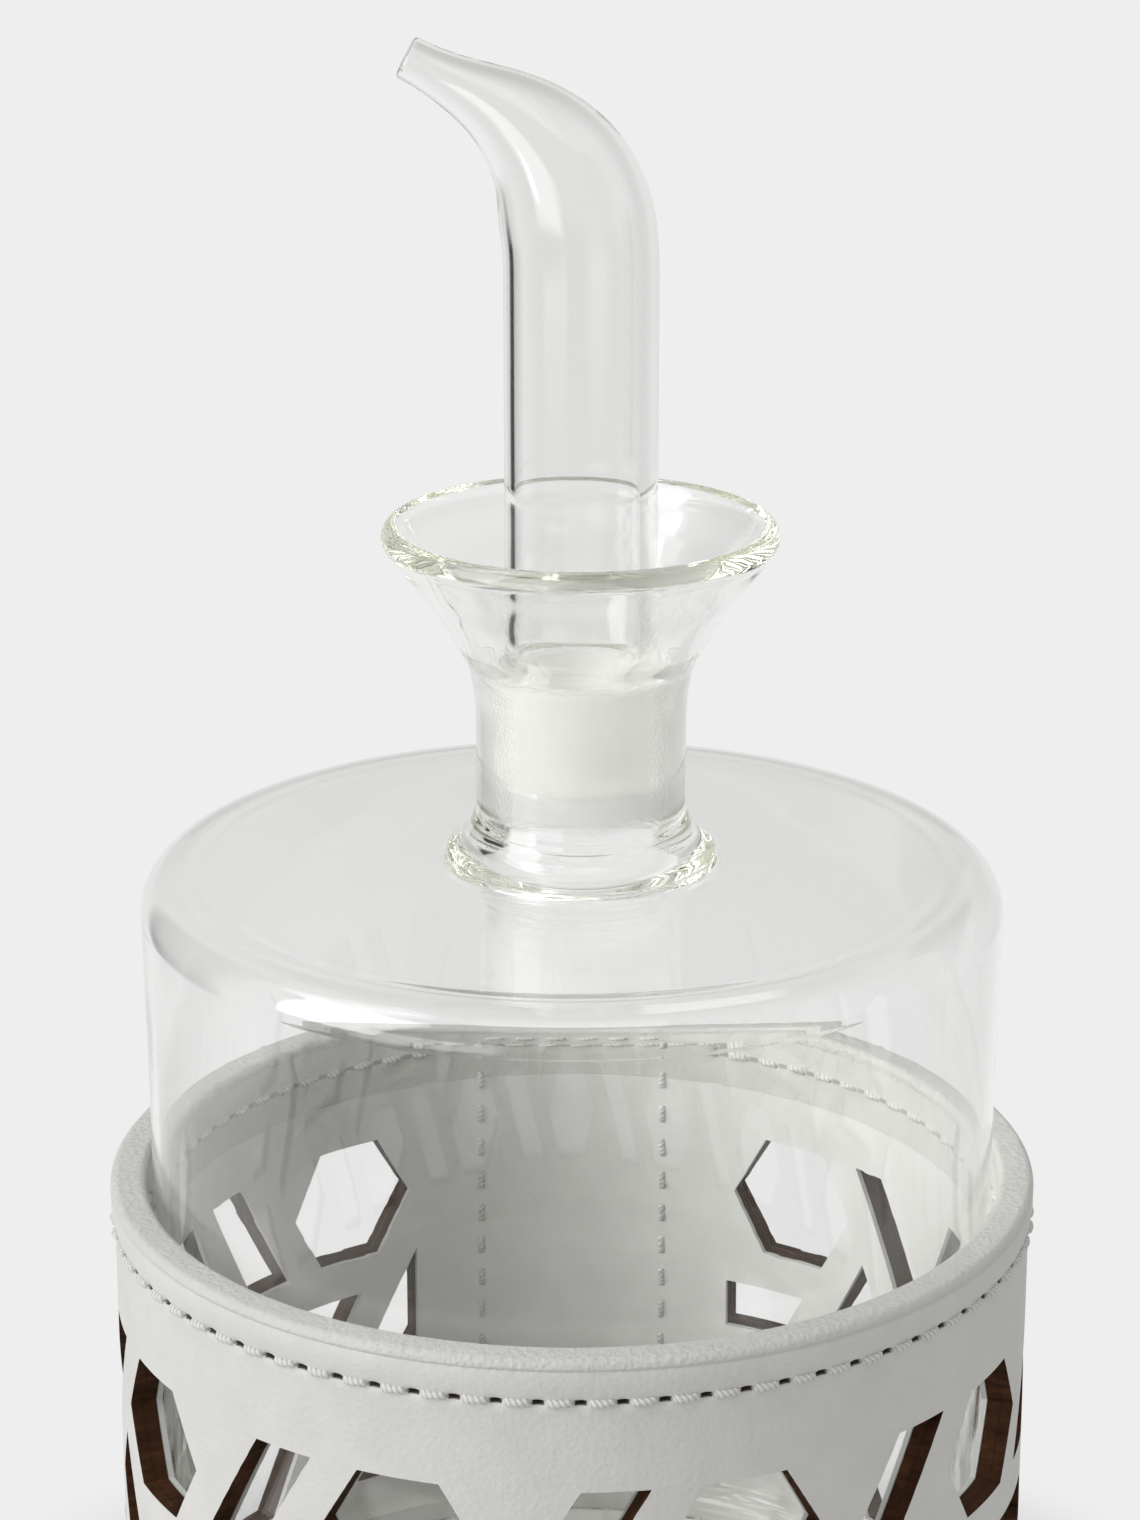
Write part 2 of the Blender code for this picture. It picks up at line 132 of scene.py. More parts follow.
def skin(name, rings, closed=False):
    """Faces over rings[ring, column] or rings[piece, ring, column]. Face (i, j) joins the points
    (i, j), (i + 1, j), (i + 1, j + 1) and (i, j + 1). Columns run round, and closed also joins the
    last ring to the first."""
    rings = rings.reshape(-1, *rings.shape[-3:])
    pieces, count, columns = rings.shape[:3]
    number = np.arange(pieces * count * columns).reshape(pieces, count, columns)
    if closed:
        number = np.concatenate([number, number[:, :1]], axis=1)
    number = np.concatenate([number, number[:, :, :1]], axis=2)
    quads = np.stack([number[:, :-1, :-1], number[:, 1:, :-1], number[:, 1:, 1:], number[:, :-1, 1:]], -1)
    bands = quads.shape[1]
    v, u = np.meshgrid(np.arange(bands), np.arange(columns), indexing="ij")
    corners = np.stack([np.stack([u + i, v + j], -1) for i, j in ((0, 0), (0, 1), (1, 1), (1, 0))], 2)
    shares = np.broadcast_to(corners / (columns, bands), (pieces, bands, columns, 4, 2))
    mesh = new_mesh(name, rings.reshape(-1, 3), quads.reshape(-1, 4), shares)
    changed(mesh, lambda shape: bmesh.ops.remove_doubles(shape, verts=shape.verts, dist=MERGE))
    mesh.shade_smooth()
    return mesh


def around(count):
    """The angles of count even steps round a circle."""
    return np.arange(count) * 2 * math.pi / count


def on_drum(radius, angle, height):
    """Points about Z: (r sin a, -r cos a, z)."""
    return np.stack([radius * np.sin(angle), -radius * np.cos(angle), height + 0 * angle], -1)


def turned(line, columns):
    """Rings for a profile [(radius, height)] turned about Z."""
    return on_drum(line[:, :1], around(columns), line[:, 1:])


# %% [markdown]
# A profile is drawn as a maker draws it: corners, some of them with a radius. The arc at a corner
# touches both of its sides. A second kind of line passes smoothly through given points, which
# suits blown glass, where nothing is a true arc. Where a size goes over into another along the
# way, the share that has gone over is eased.

# %% Draw profiles
ARC_STEP = math.radians(9.0)


def rounded(corners):
    """The line through corners (r, z) or (r, z, radius) with an arc at each corner that has a
    radius, which the ends have not. The arc starts radius / tan(half the corner's angle) before
    the corner."""
    line = []
    for index, corner in enumerate(corners):
        here = np.array(corner[:2], float)
        radius = corner[2] if len(corner) > 2 else 0.0
        if radius <= 0.0:
            line.append(here[None])
            continue
        back = np.array(corners[index - 1][:2]) - here
        on = np.array(corners[index + 1][:2]) - here
        long_back, long_on = np.hypot(*back), np.hypot(*on)
        back, on = back / long_back, on / long_on
        half = math.acos(np.clip(back @ on, -1, 1)) / 2
        reach = min(radius / math.tan(half), long_back * 0.49, long_on * 0.49)
        radius = reach * math.tan(half)
        middle = (back + on) / np.hypot(*(back + on))
        centre = here + middle * radius / math.sin(half)
        first, last = here + back * reach - centre, here + on * reach - centre
        turn = math.atan2(first[0] * last[1] - first[1] * last[0], first @ last)
        angle = np.linspace(0, turn, max(2, math.ceil(abs(turn) / ARC_STEP) + 1))
        x = first[0] * np.cos(angle) - first[1] * np.sin(angle)
        z = first[0] * np.sin(angle) + first[1] * np.cos(angle)
        line.append(centre + np.stack([x, z], -1))
    return np.vstack(line)


def through(points, steps):
    """A Catmull-Rom line: it meets every point, and at each it heads from the point before to the
    point after."""
    p = np.asarray(points, float)
    p = np.vstack([2 * p[0] - p[1], p, 2 * p[-1] - p[-2]])
    t = np.linspace(0, 1, steps, endpoint=False)[None, :, None]
    a, b, c, d = (p[k : len(p) - 3 + k, None] for k in range(4))
    line = 0.5 * (2 * b + (c - a) * t + (2 * a - 5 * b + 4 * c - d) * t**2 + (3 * b - 3 * c + d - a) * t**3)
    return np.vstack([line.reshape(-1, 2), p[-2:-1]])


def eased(share):
    """3 s^2 - 2 s^3, with s held between 0 and 1."""
    share = np.clip(share, 0, 1)
    return share * share * (3 - 2 * share)


# %% [markdown]
# Smooth shading turns the normal evenly over a face. On a long flat face next to a rounded corner
# that shows as a dent, and in glass it bends the light. A point close to both ends of each long
# step keeps the turn inside the corner.

# %% Guard the corners of long walls
GUARD = 0.12 * MM


def guarded(line):
    """The line with a point added close to both ends of each long step."""
    points = [line[:1]]
    for start, end in zip(line[:-1], line[1:]):
        run = end - start
        short = run * GUARD / max(np.hypot(*run), GUARD)
        if np.hypot(*run) > 8 * GUARD:
            points.append(np.stack([start + short, end - short]))
        points.append(end[None])
    return np.vstack(points)


# %% [markdown]
# ## Pieces and their bodies
# A finished piece is linked to the scene, takes its finishes, rides on a body of the solids and
# hides the plain solid that it stands for.

# %% Put a piece in the scene
scene = bpy.context.scene


def shown(name, data, *finishes):
    """A new object in the scene. The finishes are its data's."""
    for finish in finishes:
        data.materials.append(finish)
    made = bpy.data.objects.new(name, data)
    scene.collection.objects.link(made)
    return made


def place(mesh, finishes, body, slot, *stands_for):
    piece = shown(mesh.name, mesh, *finishes)
    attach(piece, body)
    if stands_for:
        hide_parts(*stands_for)
    mesh.calc_loop_triangles()
    print("%s: %d triangles" % (piece.name, len(mesh.loop_triangles)))


# %% [markdown]
# ## Writing finishes as sums
# A finish is a small program of nodes. Wrapping a socket in a class lets the sums be written as
# sums: `1 - mask` adds one Math node. Every other node comes from the one method `node`, which
# sets its settings first and then fills or links its sockets.

# %% Wrap sockets and make nodes
class Field:
    """A socket whose value varies over the surface."""

    def __init__(self, finish, socket):
        self.finish, self.socket = finish, socket

    def sum(self, operation, *values):
        return self.finish.node("ShaderNodeMath", {"operation": operation}, dict(enumerate(values)))

    def __add__(self, other):
        return self.sum("ADD", self, other)

    def __sub__(self, other):
        return self.sum("SUBTRACT", self, other)

    def __rsub__(self, other):
        return self.sum("SUBTRACT", other, self)

    def __mul__(self, other):
        return self.sum("MULTIPLY", self, other)

    def __truediv__(self, other):
        return self.sum("DIVIDE", self, other)

    __radd__, __rmul__ = __add__, __mul__

    def size(self):
        return self.sum("ABSOLUTE", self)

    def most(self, other):
        return self.sum("MAXIMUM", self, other)

    def rise(self, low, high):
        """0 below low, 1 above high and a smooth step between. Given high first, it falls."""
        return self.finish.node("ShaderNodeMapRange", {"interpolation_type": "SMOOTHSTEP"},
                                {"Value": self, "From Min": low, "From Max": high})


class Finish:
    """The nodes of one material or world."""

    def __init__(self, owner):
        owner.use_nodes = True
        self.owner, self.tree = owner, owner.node_tree
        self.tree.nodes.clear()

    def node(self, kind, settings=(), sockets=(), out=0):
        made = self.tree.nodes.new(kind)
        for key, value in dict(settings).items():
            if key == "stops":
                ramp = made.color_ramp
                while len(ramp.elements) < len(value):
                    ramp.elements.new(1.0)
                for element, (at, colour) in zip(ramp.elements, value):
                    element.position, element.color = at, (*colour, 1.0)
            else:
                setattr(made, key, value)
        for key, value in dict(sockets).items():
            socket = made.inputs[key]
            if isinstance(value, Field):
                self.tree.links.new(value.socket, socket)
            elif socket.type == "RGBA":
                socket.default_value = (*value, 1.0)
            else:
                socket.default_value = value
        return Field(self, made.outputs[out]) if len(made.outputs) else None

    def blend(self, share, first, second):
        """A colour that goes from first to second as share goes from 0 to 1."""
        return self.node("ShaderNodeMix", {"data_type": "RGBA"}, {0: share, 6: first, 7: second}, 2)

    def where(self):
        return self.node("ShaderNodeTexCoord", out="Object")

    def parts(self, vector):
        """The fields x, y and z of a vector."""
        x = self.node("ShaderNodeSeparateXYZ", (), {0: vector})
        return [Field(self, socket) for socket in x.socket.node.outputs]

    def ray(self, kind):
        """1 for rays of one kind and 0 for others, or the ray's depth."""
        return self.node("ShaderNodeLightPath", out=kind)

    def noise(self, size, detail=2.0, roughness=0.5, vector=None):
        """Cloudy noise whose lumps are about size across, by place unless another vector is given."""
        return self.node("ShaderNodeTexNoise", (), {
            "Vector": vector or self.where(), "Scale": 1 / size, "Detail": detail, "Roughness": roughness})

    def bump(self, height, depth, before=None):
        """A Bump node whose height of 1 stands depth proud."""
        sockets = {"Height": height, "Distance": depth, "Strength": 1.0}
        if before:
            sockets["Normal"] = before
        return self.node("ShaderNodeBump", (), sockets, "Normal")

    def principled(self, colour, roughness, normal, more):
        """A Principled shader. more holds its other sockets."""
        return self.node("ShaderNodeBsdfPrincipled", (), {
            "Base Color": colour, "Roughness": roughness, "Normal": normal, **more})

    def opaque(self, colour, roughness, specular, normal):
        return self.principled(colour, roughness, normal, {"Specular IOR Level": specular})

    def surface(self, shader):
        self.node("ShaderNodeOutputMaterial", (), {"Surface": shader})
        return self.owner


def finish_named(name):
    return Finish(bpy.data.materials.new(name))


def times(colour, factor):
    """A lighter or darker colour."""
    return [min(1, c * factor) for c in colour]


# %% [markdown]
# ## Camera
# The lens and the place were fitted to the photograph: the sleeve's rim gives an ellipse, and its
# height to width gives the angle down. The picture is taken as 1140 by 1520 pixels, and the focal
# length of 4355 of them is turned into millimetres for a 36 mm high sensor.

# %% Place the camera
FOCAL_PIXELS = 4355.0
PICTURE_HEIGHT = 1520.0
SENSOR_HEIGHT = 36.0
CAMERA_DOWN = math.radians(18.125)
CAMERA_AT = (-0.18 * MM, -381.4 * MM, RIM + 164.7 * MM)

lens = bpy.data.cameras.new("Camera")
lens.sensor_fit = "VERTICAL"
lens.sensor_height = SENSOR_HEIGHT
lens.lens = FOCAL_PIXELS / PICTURE_HEIGHT * SENSOR_HEIGHT
lens.clip_start, lens.clip_end = 0.02, 20.0
camera = shown("Camera", lens)
camera.location = CAMERA_AT
camera.rotation_euler = (math.radians(90.0) - CAMERA_DOWN, 0.0, 0.0)
scene.camera = camera
print("lens %.1f mm" % lens.lens)

# %% [markdown]
# ## Leather
# The sleeve is white calf leather with a fine grain. Its grain is a field of soft pores about half
# a millimetre across, over slow hollows a few millimetres wide. On the rim, where the leather is
# stretched over the edge, the grain stands up more, and the rim's top is painted darker as shade.
# Inside, painted shade darkens the lining towards the rim. Needle holes show the dark core and lie
# in shade, so they are painted dark by place: the angle round the axis, counted in stitches, says
# how far the nearest hole is.

# %% Make the leather finish
LEATHER = (0.735, 0.730, 0.700)
LINING = (0.92, 0.92, 0.888)
HOLE_CORE_AND_SHADE = (0.030, 0.022, 0.018)
HOLE_HALF_LENGTH = 0.52 * MM
HOLE_HALF_HEIGHT = 0.24 * MM
GRAIN = 0.55 * MM
GRAIN_DEPTH = 0.042 * MM
LINING_GRAIN_DEPTH = 0.015 * MM
LINING_PAINTED_SHADE = 0.22
RIM_STARTS = (RIM - 1.3 * MM, RIM - 0.9 * MM)
PAINTED_SHADE_STARTS = (RIM - 24.0 * MM, RIM - 9.0 * MM)
OUTSIDE_STARTS = (SLEEVE_RADIUS - 1.6 * MM, SLEEVE_RADIUS - 0.8 * MM)


def round_place(finish, aside=0.0):
    """The fields angle, radius and height of a point round an upright axis through x = aside:
    atan2(x, -y), sqrt(x2 + y2) and z."""
    x, y, z = finish.parts(finish.where())
    x = x - aside
    angle = x.sum("ARCTAN2", x, y * -1.0)
    radius = x.sum("SQRT", x * x + y * y)
    return angle, radius, z


def near_row(angle, height, row):
    """How much a point lies in a needle hole of the row of stitches at that height."""
    step = (angle - STITCH_PHASE) / STITCH_PITCH
    along = step.sum("PINGPONG", step, 0.5) * (STITCH_PITCH * SLEEVE_RADIUS)
    return along.rise(HOLE_HALF_LENGTH * 1.15, HOLE_HALF_LENGTH * 0.85) * (height - row).size().rise(
        HOLE_HALF_HEIGHT * 1.3, HOLE_HALF_HEIGHT * 0.7)


def leather(name, colour, grain_depth, shade=0.0, holes=()):
    """shade is how far painted shade darkens the leather towards the rim, on the sleeve's inside.
    holes are the heights of rows of needle holes."""
    finish = finish_named(name)
    angle, radius, height = round_place(finish)
    pores = finish.node("ShaderNodeTexVoronoi", {"feature": "SMOOTH_F1"},
                        {"Vector": finish.where(), "Scale": 1 / GRAIN, "Smoothness": 0.6}, "Distance")
    fine = finish.noise(0.22 * MM, 3.0)
    hollows = finish.noise(5.0 * MM, 2.0)
    on_rim = height.rise(*RIM_STARTS)
    tone = finish.blend(hollows.rise(0.3, 0.7), times(colour, 0.965), times(colour, 1.02))
    tone = finish.blend(fine.rise(0.35, 0.65) * 0.35, tone, times(colour, 0.93))
    # Painted shade: the top of the rim is painted darker than the side.
    tone = finish.blend(on_rim * 0.3, tone, times(colour, 0.80))
    # Painted shade: the lining is painted darker towards the rim.
    if shade:
        tone = finish.blend(height.rise(*PAINTED_SHADE_STARTS) * shade, tone, times(colour, 0.72))
    outside = radius.rise(*OUTSIDE_STARTS)
    # Needle holes are painted near black: the dark core in the hole and painted shade, with less of it on
    # the sleeve's inside.
    for row in holes:
        tone = finish.blend(near_row(angle, height, row) * (0.4 + outside * 0.6), tone, HOLE_CORE_AND_SHADE)
    relief = pores * (1 + on_rim * 1.6) + fine * (0.6 + on_rim * 1.2)
    normal = finish.bump(relief, grain_depth, finish.bump(hollows, 0.10 * MM))
    return finish.surface(finish.opaque(tone, 0.50 + fine * 0.14, 0.35, normal))


cover_leather = leather("white_leather", LEATHER, GRAIN_DEPTH, holes=STITCH_ROWS)
lining_leather = leather("lining_leather", LINING, LINING_GRAIN_DEPTH, LINING_PAINTED_SHADE)

# %% [markdown]
# The cut edges show the leather's dark brown inside. It is a felt of fibres, so its tone wanders
# along the cut in streaks that run through the thickness, with a darker line where two plies meet.
# The lining is undyed, so its own cut edge stays pale.

# %% Make the brown of the cut edges
BROWN_DARK = (0.016, 0.006, 0.002)
BROWN_MID = (0.054, 0.021, 0.008)
BROWN_LIGHT = (0.115, 0.050, 0.021)
PLY_LINE = 0.10 * MM
UNDYED_ENDS = (LIP_RADIUS + 0.6 * MM, LIP_RADIUS + 0.5 * MM)


def cut_brown(name):
    finish = finish_named(name)
    angle, radius, height = round_place(finish)
    wound = finish.node("ShaderNodeCombineXYZ", (), {
        "X": angle * SHEET_RADIUS, "Y": height, "Z": radius * 0.25})
    streaks = finish.noise(0.8 * MM, 4.0, 0.6, wound)
    patches = finish.noise(3.5 * MM, 2.0)
    fibres = finish.noise(0.15 * MM, 2.0)
    stops = [(0.30, BROWN_DARK), (0.52, BROWN_MID), (0.75, BROWN_LIGHT)]
    tone = finish.node("ShaderNodeValToRGB", {"stops": stops}, {"Fac": streaks * 0.55 + patches * 0.45})
    lines = [(radius - joint).size().rise(PLY_LINE, 0.0) for joint in (COVER_INSIDE, CORE_INSIDE)]
    tone = finish.blend(lines[0].most(lines[1]) * 0.6, tone, BROWN_DARK)
    tone = finish.blend(radius.rise(*UNDYED_ENDS), tone, times(LINING, 0.75))
    normal = finish.bump(fibres + streaks, 0.05 * MM)
    return finish.surface(finish.opaque(tone, 0.72 + fibres * 0.2, 0.15, normal))


brown = cut_brown("brown_core")

# %% [markdown]
# ## The fretwork
# Hexagons stand on a triangular grid with a slot between each pair of neighbours. A slot leans 60
# degrees from the line between its hexagons, so the slots turn round each hexagon like a
# pinwheel. The sheet is cut flat and then rolled, so the outlines are laid out flat and every
# point is rolled onto the sheet: x becomes an angle, and the walls of a cut point at the axis.

# %% Lay out the fretwork and roll its cutters
EDGE_PIECES = 6
PUNCH_INSIDE = LIP_RADIUS - 1.2 * MM
PUNCH_OUTSIDE = SLEEVE_RADIUS + 2.2 * MM


def turn_flat(points, angle):
    c, s = math.cos(angle), math.sin(angle)
    return np.asarray(points) @ np.array([[c, s], [-s, c]])


def clipped(outline, low, high):
    """The part of an outline that lies between two upright lines."""
    for limit, side in ((low, 1.0), (high, -1.0)):
        kept = []
        for (x0, z0), (x1, z1) in zip(np.roll(outline, 1, axis=0), outline):
            inside = (x1 - limit) * side >= 0
            if inside != ((x0 - limit) * side >= 0):
                kept.append((limit, z0 + (limit - x0) / (x1 - x0) * (z1 - z0)))
            if inside:
                kept.append((x1, z1))
        outline = np.array(kept).reshape(-1, 2)
        if not len(outline):
            break
    return outline


def fretwork():
    """Every cut's outline, counterclockwise on the flat sheet, up to the plain panel of the seam."""
    edge = math.pi * SHEET_RADIUS - SEAM_PANEL_WIDTH / 2
    columns = math.ceil(edge / CELL_PITCH) + 1
    corner = np.radians(60.0 * np.arange(6))
    hexagon = HEXAGON_SIDE * np.stack([np.cos(corner), np.sin(corner)], -1)
    rise, half = HEXAGON_FLATS / 2, SLOT_WIDTH / math.sqrt(3.0)
    lean = rise / math.tan(math.radians(60.0))
    slot = [(lean + half, rise), (lean - half, rise), (-lean - half, -rise), (-lean + half, -rise)]
    outlines = []
    for row in range(FRETWORK_ROWS):
        for column in range(-columns, columns + 1):
            x = (column + (0.5 if row % 2 == 0 else 0.0)) * CELL_PITCH
            middle = np.array([x, RIM - EDGE_BAND - HEXAGON_FLATS / 2 - row * ROW_PITCH])
            outlines.append(middle + hexagon)
            for direction in (0, -60, -120)[: 3 if row < FRETWORK_ROWS - 1 else 1]:
                turn = math.radians(direction)
                towards = np.array([math.cos(turn), math.sin(turn)]) * CELL_PITCH / 2
                outlines.append(middle + towards + turn_flat(slot, turn))
    outlines = [clipped(outline, -edge, edge) for outline in outlines]
    return [o for o in outlines if len(o) > 2 and np.ptp(o[:, 0]) > SMALLEST_CUT]


def punch(name, outlines):
    """One closed cutter for each outline (x, z), x being an arc of the sheet. Its faces carry the
    second finish, so the walls that they leave in the leather do too."""
    points, faces = [], []
    for outline in outlines:
        share = np.linspace(0, 1, EDGE_PIECES, endpoint=False)[None, :, None]
        after = np.roll(outline, -1, axis=0)
        fine = (outline[:, None] * (1 - share) + after[:, None] * share).reshape(-1, 2)
        start, count = sum(len(p) for p in points), len(fine)
        points += [on_drum(radius, fine[:, 0] / SHEET_RADIUS, fine[:, 1])
                   for radius in (PUNCH_INSIDE, PUNCH_OUTSIDE)]
        inner = start + np.arange(count)
        outer = inner + count
        faces += [inner[::-1].tolist(), outer.tolist()]
        faces += np.stack([inner, np.roll(inner, -1), np.roll(outer, -1), outer], -1).tolist()
    mesh = new_mesh(name, np.vstack(points), faces)
    cutter = shown(name, mesh, cover_leather, brown)
    mesh.polygons.foreach_set("material_index", np.ones(len(mesh.polygons), np.int32))
    return cutter


cuts = fretwork()
fret_cutter = punch("fretwork_punch", cuts)
print("cut-outs:", len(cuts))

# %% [markdown]
# ## The sleeve's three plies
# The cover is turned over the core at both edges and ends inside as a lip. Its edge is rolled a
# little proud down to the stitches, which pull it in. A crease runs round just under the rim. Each
# ply is a turned profile, and one Boolean modifier cuts the fretwork through it. The needle holes
# are small hollows: the surface sinks where the angle is near a hole and the height near the row.

# %% Make the cover, the core and the lining
SHEET_COLUMNS = STITCHES_ROUND * 12
HOLE_SINK = 0.55 * MM
HOLE_REACH = 0.2 * MM
SHARP = math.radians(35.0)
EDGE_LINE = MM * np.array([  # how far under the rim, and how far proud of the plain side
    (0.84, 0.33), (0.96, 0.26), (1.06, 0.20), (1.17, 0.28), (1.32, 0.33), (2.30, 0.34), (3.10, 0.24),
    (3.60, 0.10), (3.84, 0.04), (3.98, 0.01), (4.09, 0.0), (4.20, 0.01), (4.34, 0.04), (4.70, 0.07),
    (5.30, 0.03), (6.20, 0.0)])


def outer_side(height):
    """The radius of the sleeve's outer side at a height."""
    nearest = np.minimum(RIM - height, height - FOOT)
    return SLEEVE_RADIUS + np.interp(nearest, *EDGE_LINE.T)


def cover_half(edge, into):
    """The cover at one edge: from inside the fold over the lip and the edge to the end of the
    outer side's roll. into is -1 at the rim and 1 at the foot, the way into the sleeve."""
    fold, end, proud = edge + into * COVER_THICKNESS, edge + into * LIP_DEPTH, SLEEVE_RADIUS + EDGE_ROLL
    lip = [(LIP_RADIUS, end), (LIP_RADIUS, edge, EDGE_CURVE * 0.9), (proud, edge, EDGE_CURVE), (proud, end)]
    lip = rounded(lip)[:-1] if into < 0 else rounded(lip[::-1])[:0:-1]
    inside = [(COVER_INSIDE, fold), (LINING_OUTSIDE, fold), (LINING_OUTSIDE, end)]
    return np.vstack([inside, lip, EDGE_LINE[:, ::-1] * (1, into) + (SLEEVE_RADIUS, edge)])


def sink_holes(rings):
    """Moves the outer side inwards at each needle hole by HOLE_SINK exp(-(s / length)^4) exp(-(h /
    height)^2), s being the way along the row and h the way across it."""
    step = (around(SHEET_COLUMNS) - STITCH_PHASE) / STITCH_PITCH
    along = (step - np.round(step)) * STITCH_PITCH * SLEEVE_RADIUS
    radius, height = np.hypot(rings[..., 0], rings[..., 1]), rings[..., 2]
    across = np.minimum(*(np.abs(height - row) for row in STITCH_ROWS))
    sink = np.exp(-((along / HOLE_HALF_LENGTH) ** 4)) * np.exp(-((across / HOLE_HALF_HEIGHT) ** 2))
    sink = np.where(radius > SLEEVE_RADIUS - HOLE_REACH, HOLE_SINK * sink, 0.0)
    rings[..., :2] *= ((radius - sink) / radius)[..., None]
    return rings


def cut_mesh(mesh, cutter, finishes):
    """The mesh with the cutter taken away, smooth but for its corners."""
    piece = shown(mesh.name, mesh, *finishes)
    boolean = piece.modifiers.new(cutter.name, "BOOLEAN")
    boolean.operation, boolean.solver, boolean.object = "DIFFERENCE", "MANIFOLD", cutter
    graph = bpy.context.evaluated_depsgraph_get()
    result = bpy.data.meshes.new_from_object(piece.evaluated_get(graph))
    name = mesh.name
    bpy.data.objects.remove(piece)
    bpy.data.meshes.remove(mesh)
    result.name = name
    sides = np.zeros(len(result.polygons), dtype=np.int32)
    result.polygons.foreach_get("material_index", sides)
    result.materials.clear()
    result.polygons.foreach_set("material_index", sides)
    result.shade_smooth()
    result.set_sharp_from_angle(angle=SHARP)
    print("  %s: %d faces, %d of them cut walls" % (name, len(result.polygons), sides.sum()))
    return result


def ply(inside, outside, short):
    """A plain ply that ends short of both edges of the sleeve."""
    bottom, top = FOOT + short + PLY_GAP, RIM - short - PLY_GAP
    line = np.array([(outside, top), (outside, bottom), (inside, bottom), (inside, top)])
    return turned(line, SHEET_COLUMNS // 2)


cover_line = np.vstack([cover_half(RIM, -1), cover_half(FOOT, 1)[::-1]])
cover_rings = sink_holes(turned(cover_line, SHEET_COLUMNS))
core_rings = ply(CORE_INSIDE, CORE_OUTSIDE, COVER_THICKNESS)
lining_rings = ply(LIP_RADIUS, LINING_OUTSIDE, LIP_DEPTH)
for name, rings, skin_finish, slot in (
        ("cover", cover_rings, cover_leather, "white_leather"),
        ("core", core_rings, brown, "brown_core"),
        ("lining", lining_rings, lining_leather, "lining_leather")):
    finishes = [skin_finish, brown]
    cut = cut_mesh(skin("leather_" + name, rings, closed=True), fret_cutter, finishes)
    place(cut, finishes, "sleeve", slot, "sleeve_" + name)
bpy.data.objects.remove(fret_cutter)

# %% [markdown]
# ## The strap over the seam
# The rolled sheet meets at the back under a strap of the same leather. It is a patch on the drum:
# a grid of points over its width and height, narrower near its ends so that its corners are round,
# and lower near its edge so that the edge is soft. A second grid on the sleeve's side closes it.

# %% Make the strap
STRAP_WIDTH = 26.0 * MM
STRAP_THICKNESS = 1.3 * MM
STRAP_INSET = 0.4 * MM
STRAP_CORNER = 2.0 * MM
STRAP_EDGE = 0.5 * MM
STRAP_LIFT = 0.03 * MM
STRAP_ACROSS, STRAP_ALONG = 61, 121


def crowded(count):
    """Numbers from -1 to 1 that crowd towards both ends: the sine of even steps."""
    return np.sin(np.linspace(-math.pi / 2, math.pi / 2, count))


def strap_grid():
    """x and height of the patch, and how far each point is from its edge."""
    bottom, top = FOOT + STRAP_INSET, RIM - STRAP_INSET
    height = (bottom + top) / 2 + crowded(STRAP_ALONG) * (top - bottom) / 2
    to_end = np.minimum(top - height, height - bottom)
    short = STRAP_CORNER - np.minimum(to_end, STRAP_CORNER)
    half = STRAP_WIDTH / 2 - STRAP_CORNER + np.sqrt(np.maximum(STRAP_CORNER**2 - short**2, 0))
    x = crowded(STRAP_ACROSS)[None, :] * half[:, None]
    edge = np.minimum(half[:, None] - np.abs(x), to_end[:, None])
    return x, height[:, None] + 0 * x, edge


def patch(name, front, back):
    """Two grids of points, one over the other, closed along their border."""
    rows, columns = front.shape[:2]
    number = np.arange(rows * columns).reshape(rows, columns)
    face = np.stack([number[:-1, :-1], number[:-1, 1:], number[1:, 1:], number[1:, :-1]], -1).reshape(-1, 4)
    border = np.concatenate([number[0, :-1], number[:-1, -1], number[-1, :0:-1], number[:0:-1, 0]])
    after = np.roll(border, -1)
    shift = rows * columns
    wall = np.stack([border, border + shift, after + shift, after], -1)
    faces = np.vstack([face[:, ::-1], face + shift, wall[:, ::-1]])
    mesh = new_mesh(name, np.vstack([front.reshape(-1, 3), back.reshape(-1, 3)]), faces)
    changed(mesh, lambda shape: bmesh.ops.recalc_face_normals(shape, faces=shape.faces))
    mesh.shade_smooth()
    mesh.set_sharp_from_angle(angle=SHARP)
    return mesh


x, height, edge = strap_grid()
ground = outer_side(height) + STRAP_LIFT
near = STRAP_EDGE - np.minimum(edge, STRAP_EDGE)
rise = STRAP_THICKNESS - STRAP_EDGE + np.sqrt(np.maximum(STRAP_EDGE**2 - near**2, 0))
back = math.pi - x / SLEEVE_RADIUS
strap_mesh = patch("seam_patch", on_drum(ground + rise, back, height), on_drum(ground, back, height))
place(strap_mesh, [leather("strap_leather", LEATHER, GRAIN_DEPTH)], "sleeve", "white_leather", "seam_strap")

# %% [markdown]
# ## Stitching
# The thread is a hard two-ply twist. Each stitch is one short bar that dives into a needle hole at
# both ends. Its section is round with two lobes, and the lobes turn along the stitch. Hundreds of
# them are needed, so each has only a few dozen faces, and all of one row are a single mesh.

# %% Make the thread and the stitches
STITCH_RINGS = 8
STITCH_SIDES = 8
STITCH_TILT = math.radians(2.0)
STRAP_CLEAR = 1.2 * MM
THREAD = (0.78, 0.775, 0.74)
THREAD_INSIDE = LIP_RADIUS + 0.12 * MM
draws = np.random.default_rng(7)


def thread_finish():
    finish = finish_named("linen_thread")
    u, v = finish.parts(finish.node("ShaderNodeUVMap", {"uv_map": "Along"}))[:2]
    twist = (u * 2 + v * 5) * (2 * math.pi)
    strands = twist.sum("SINE", twist) * 0.5 + 0.5
    fluff = finish.noise(0.12 * MM, 3.0)
    # Painted shade: the grooves between the two plies are painted darker.
    tone = finish.blend(strands.rise(0.0, 0.5), times(THREAD, 0.72), THREAD)
    normal = finish.bump(strands + fluff * 0.3, 0.06 * MM)
    return finish.surface(finish.opaque(tone, 0.55 + fluff * 0.3, 0.4, normal))


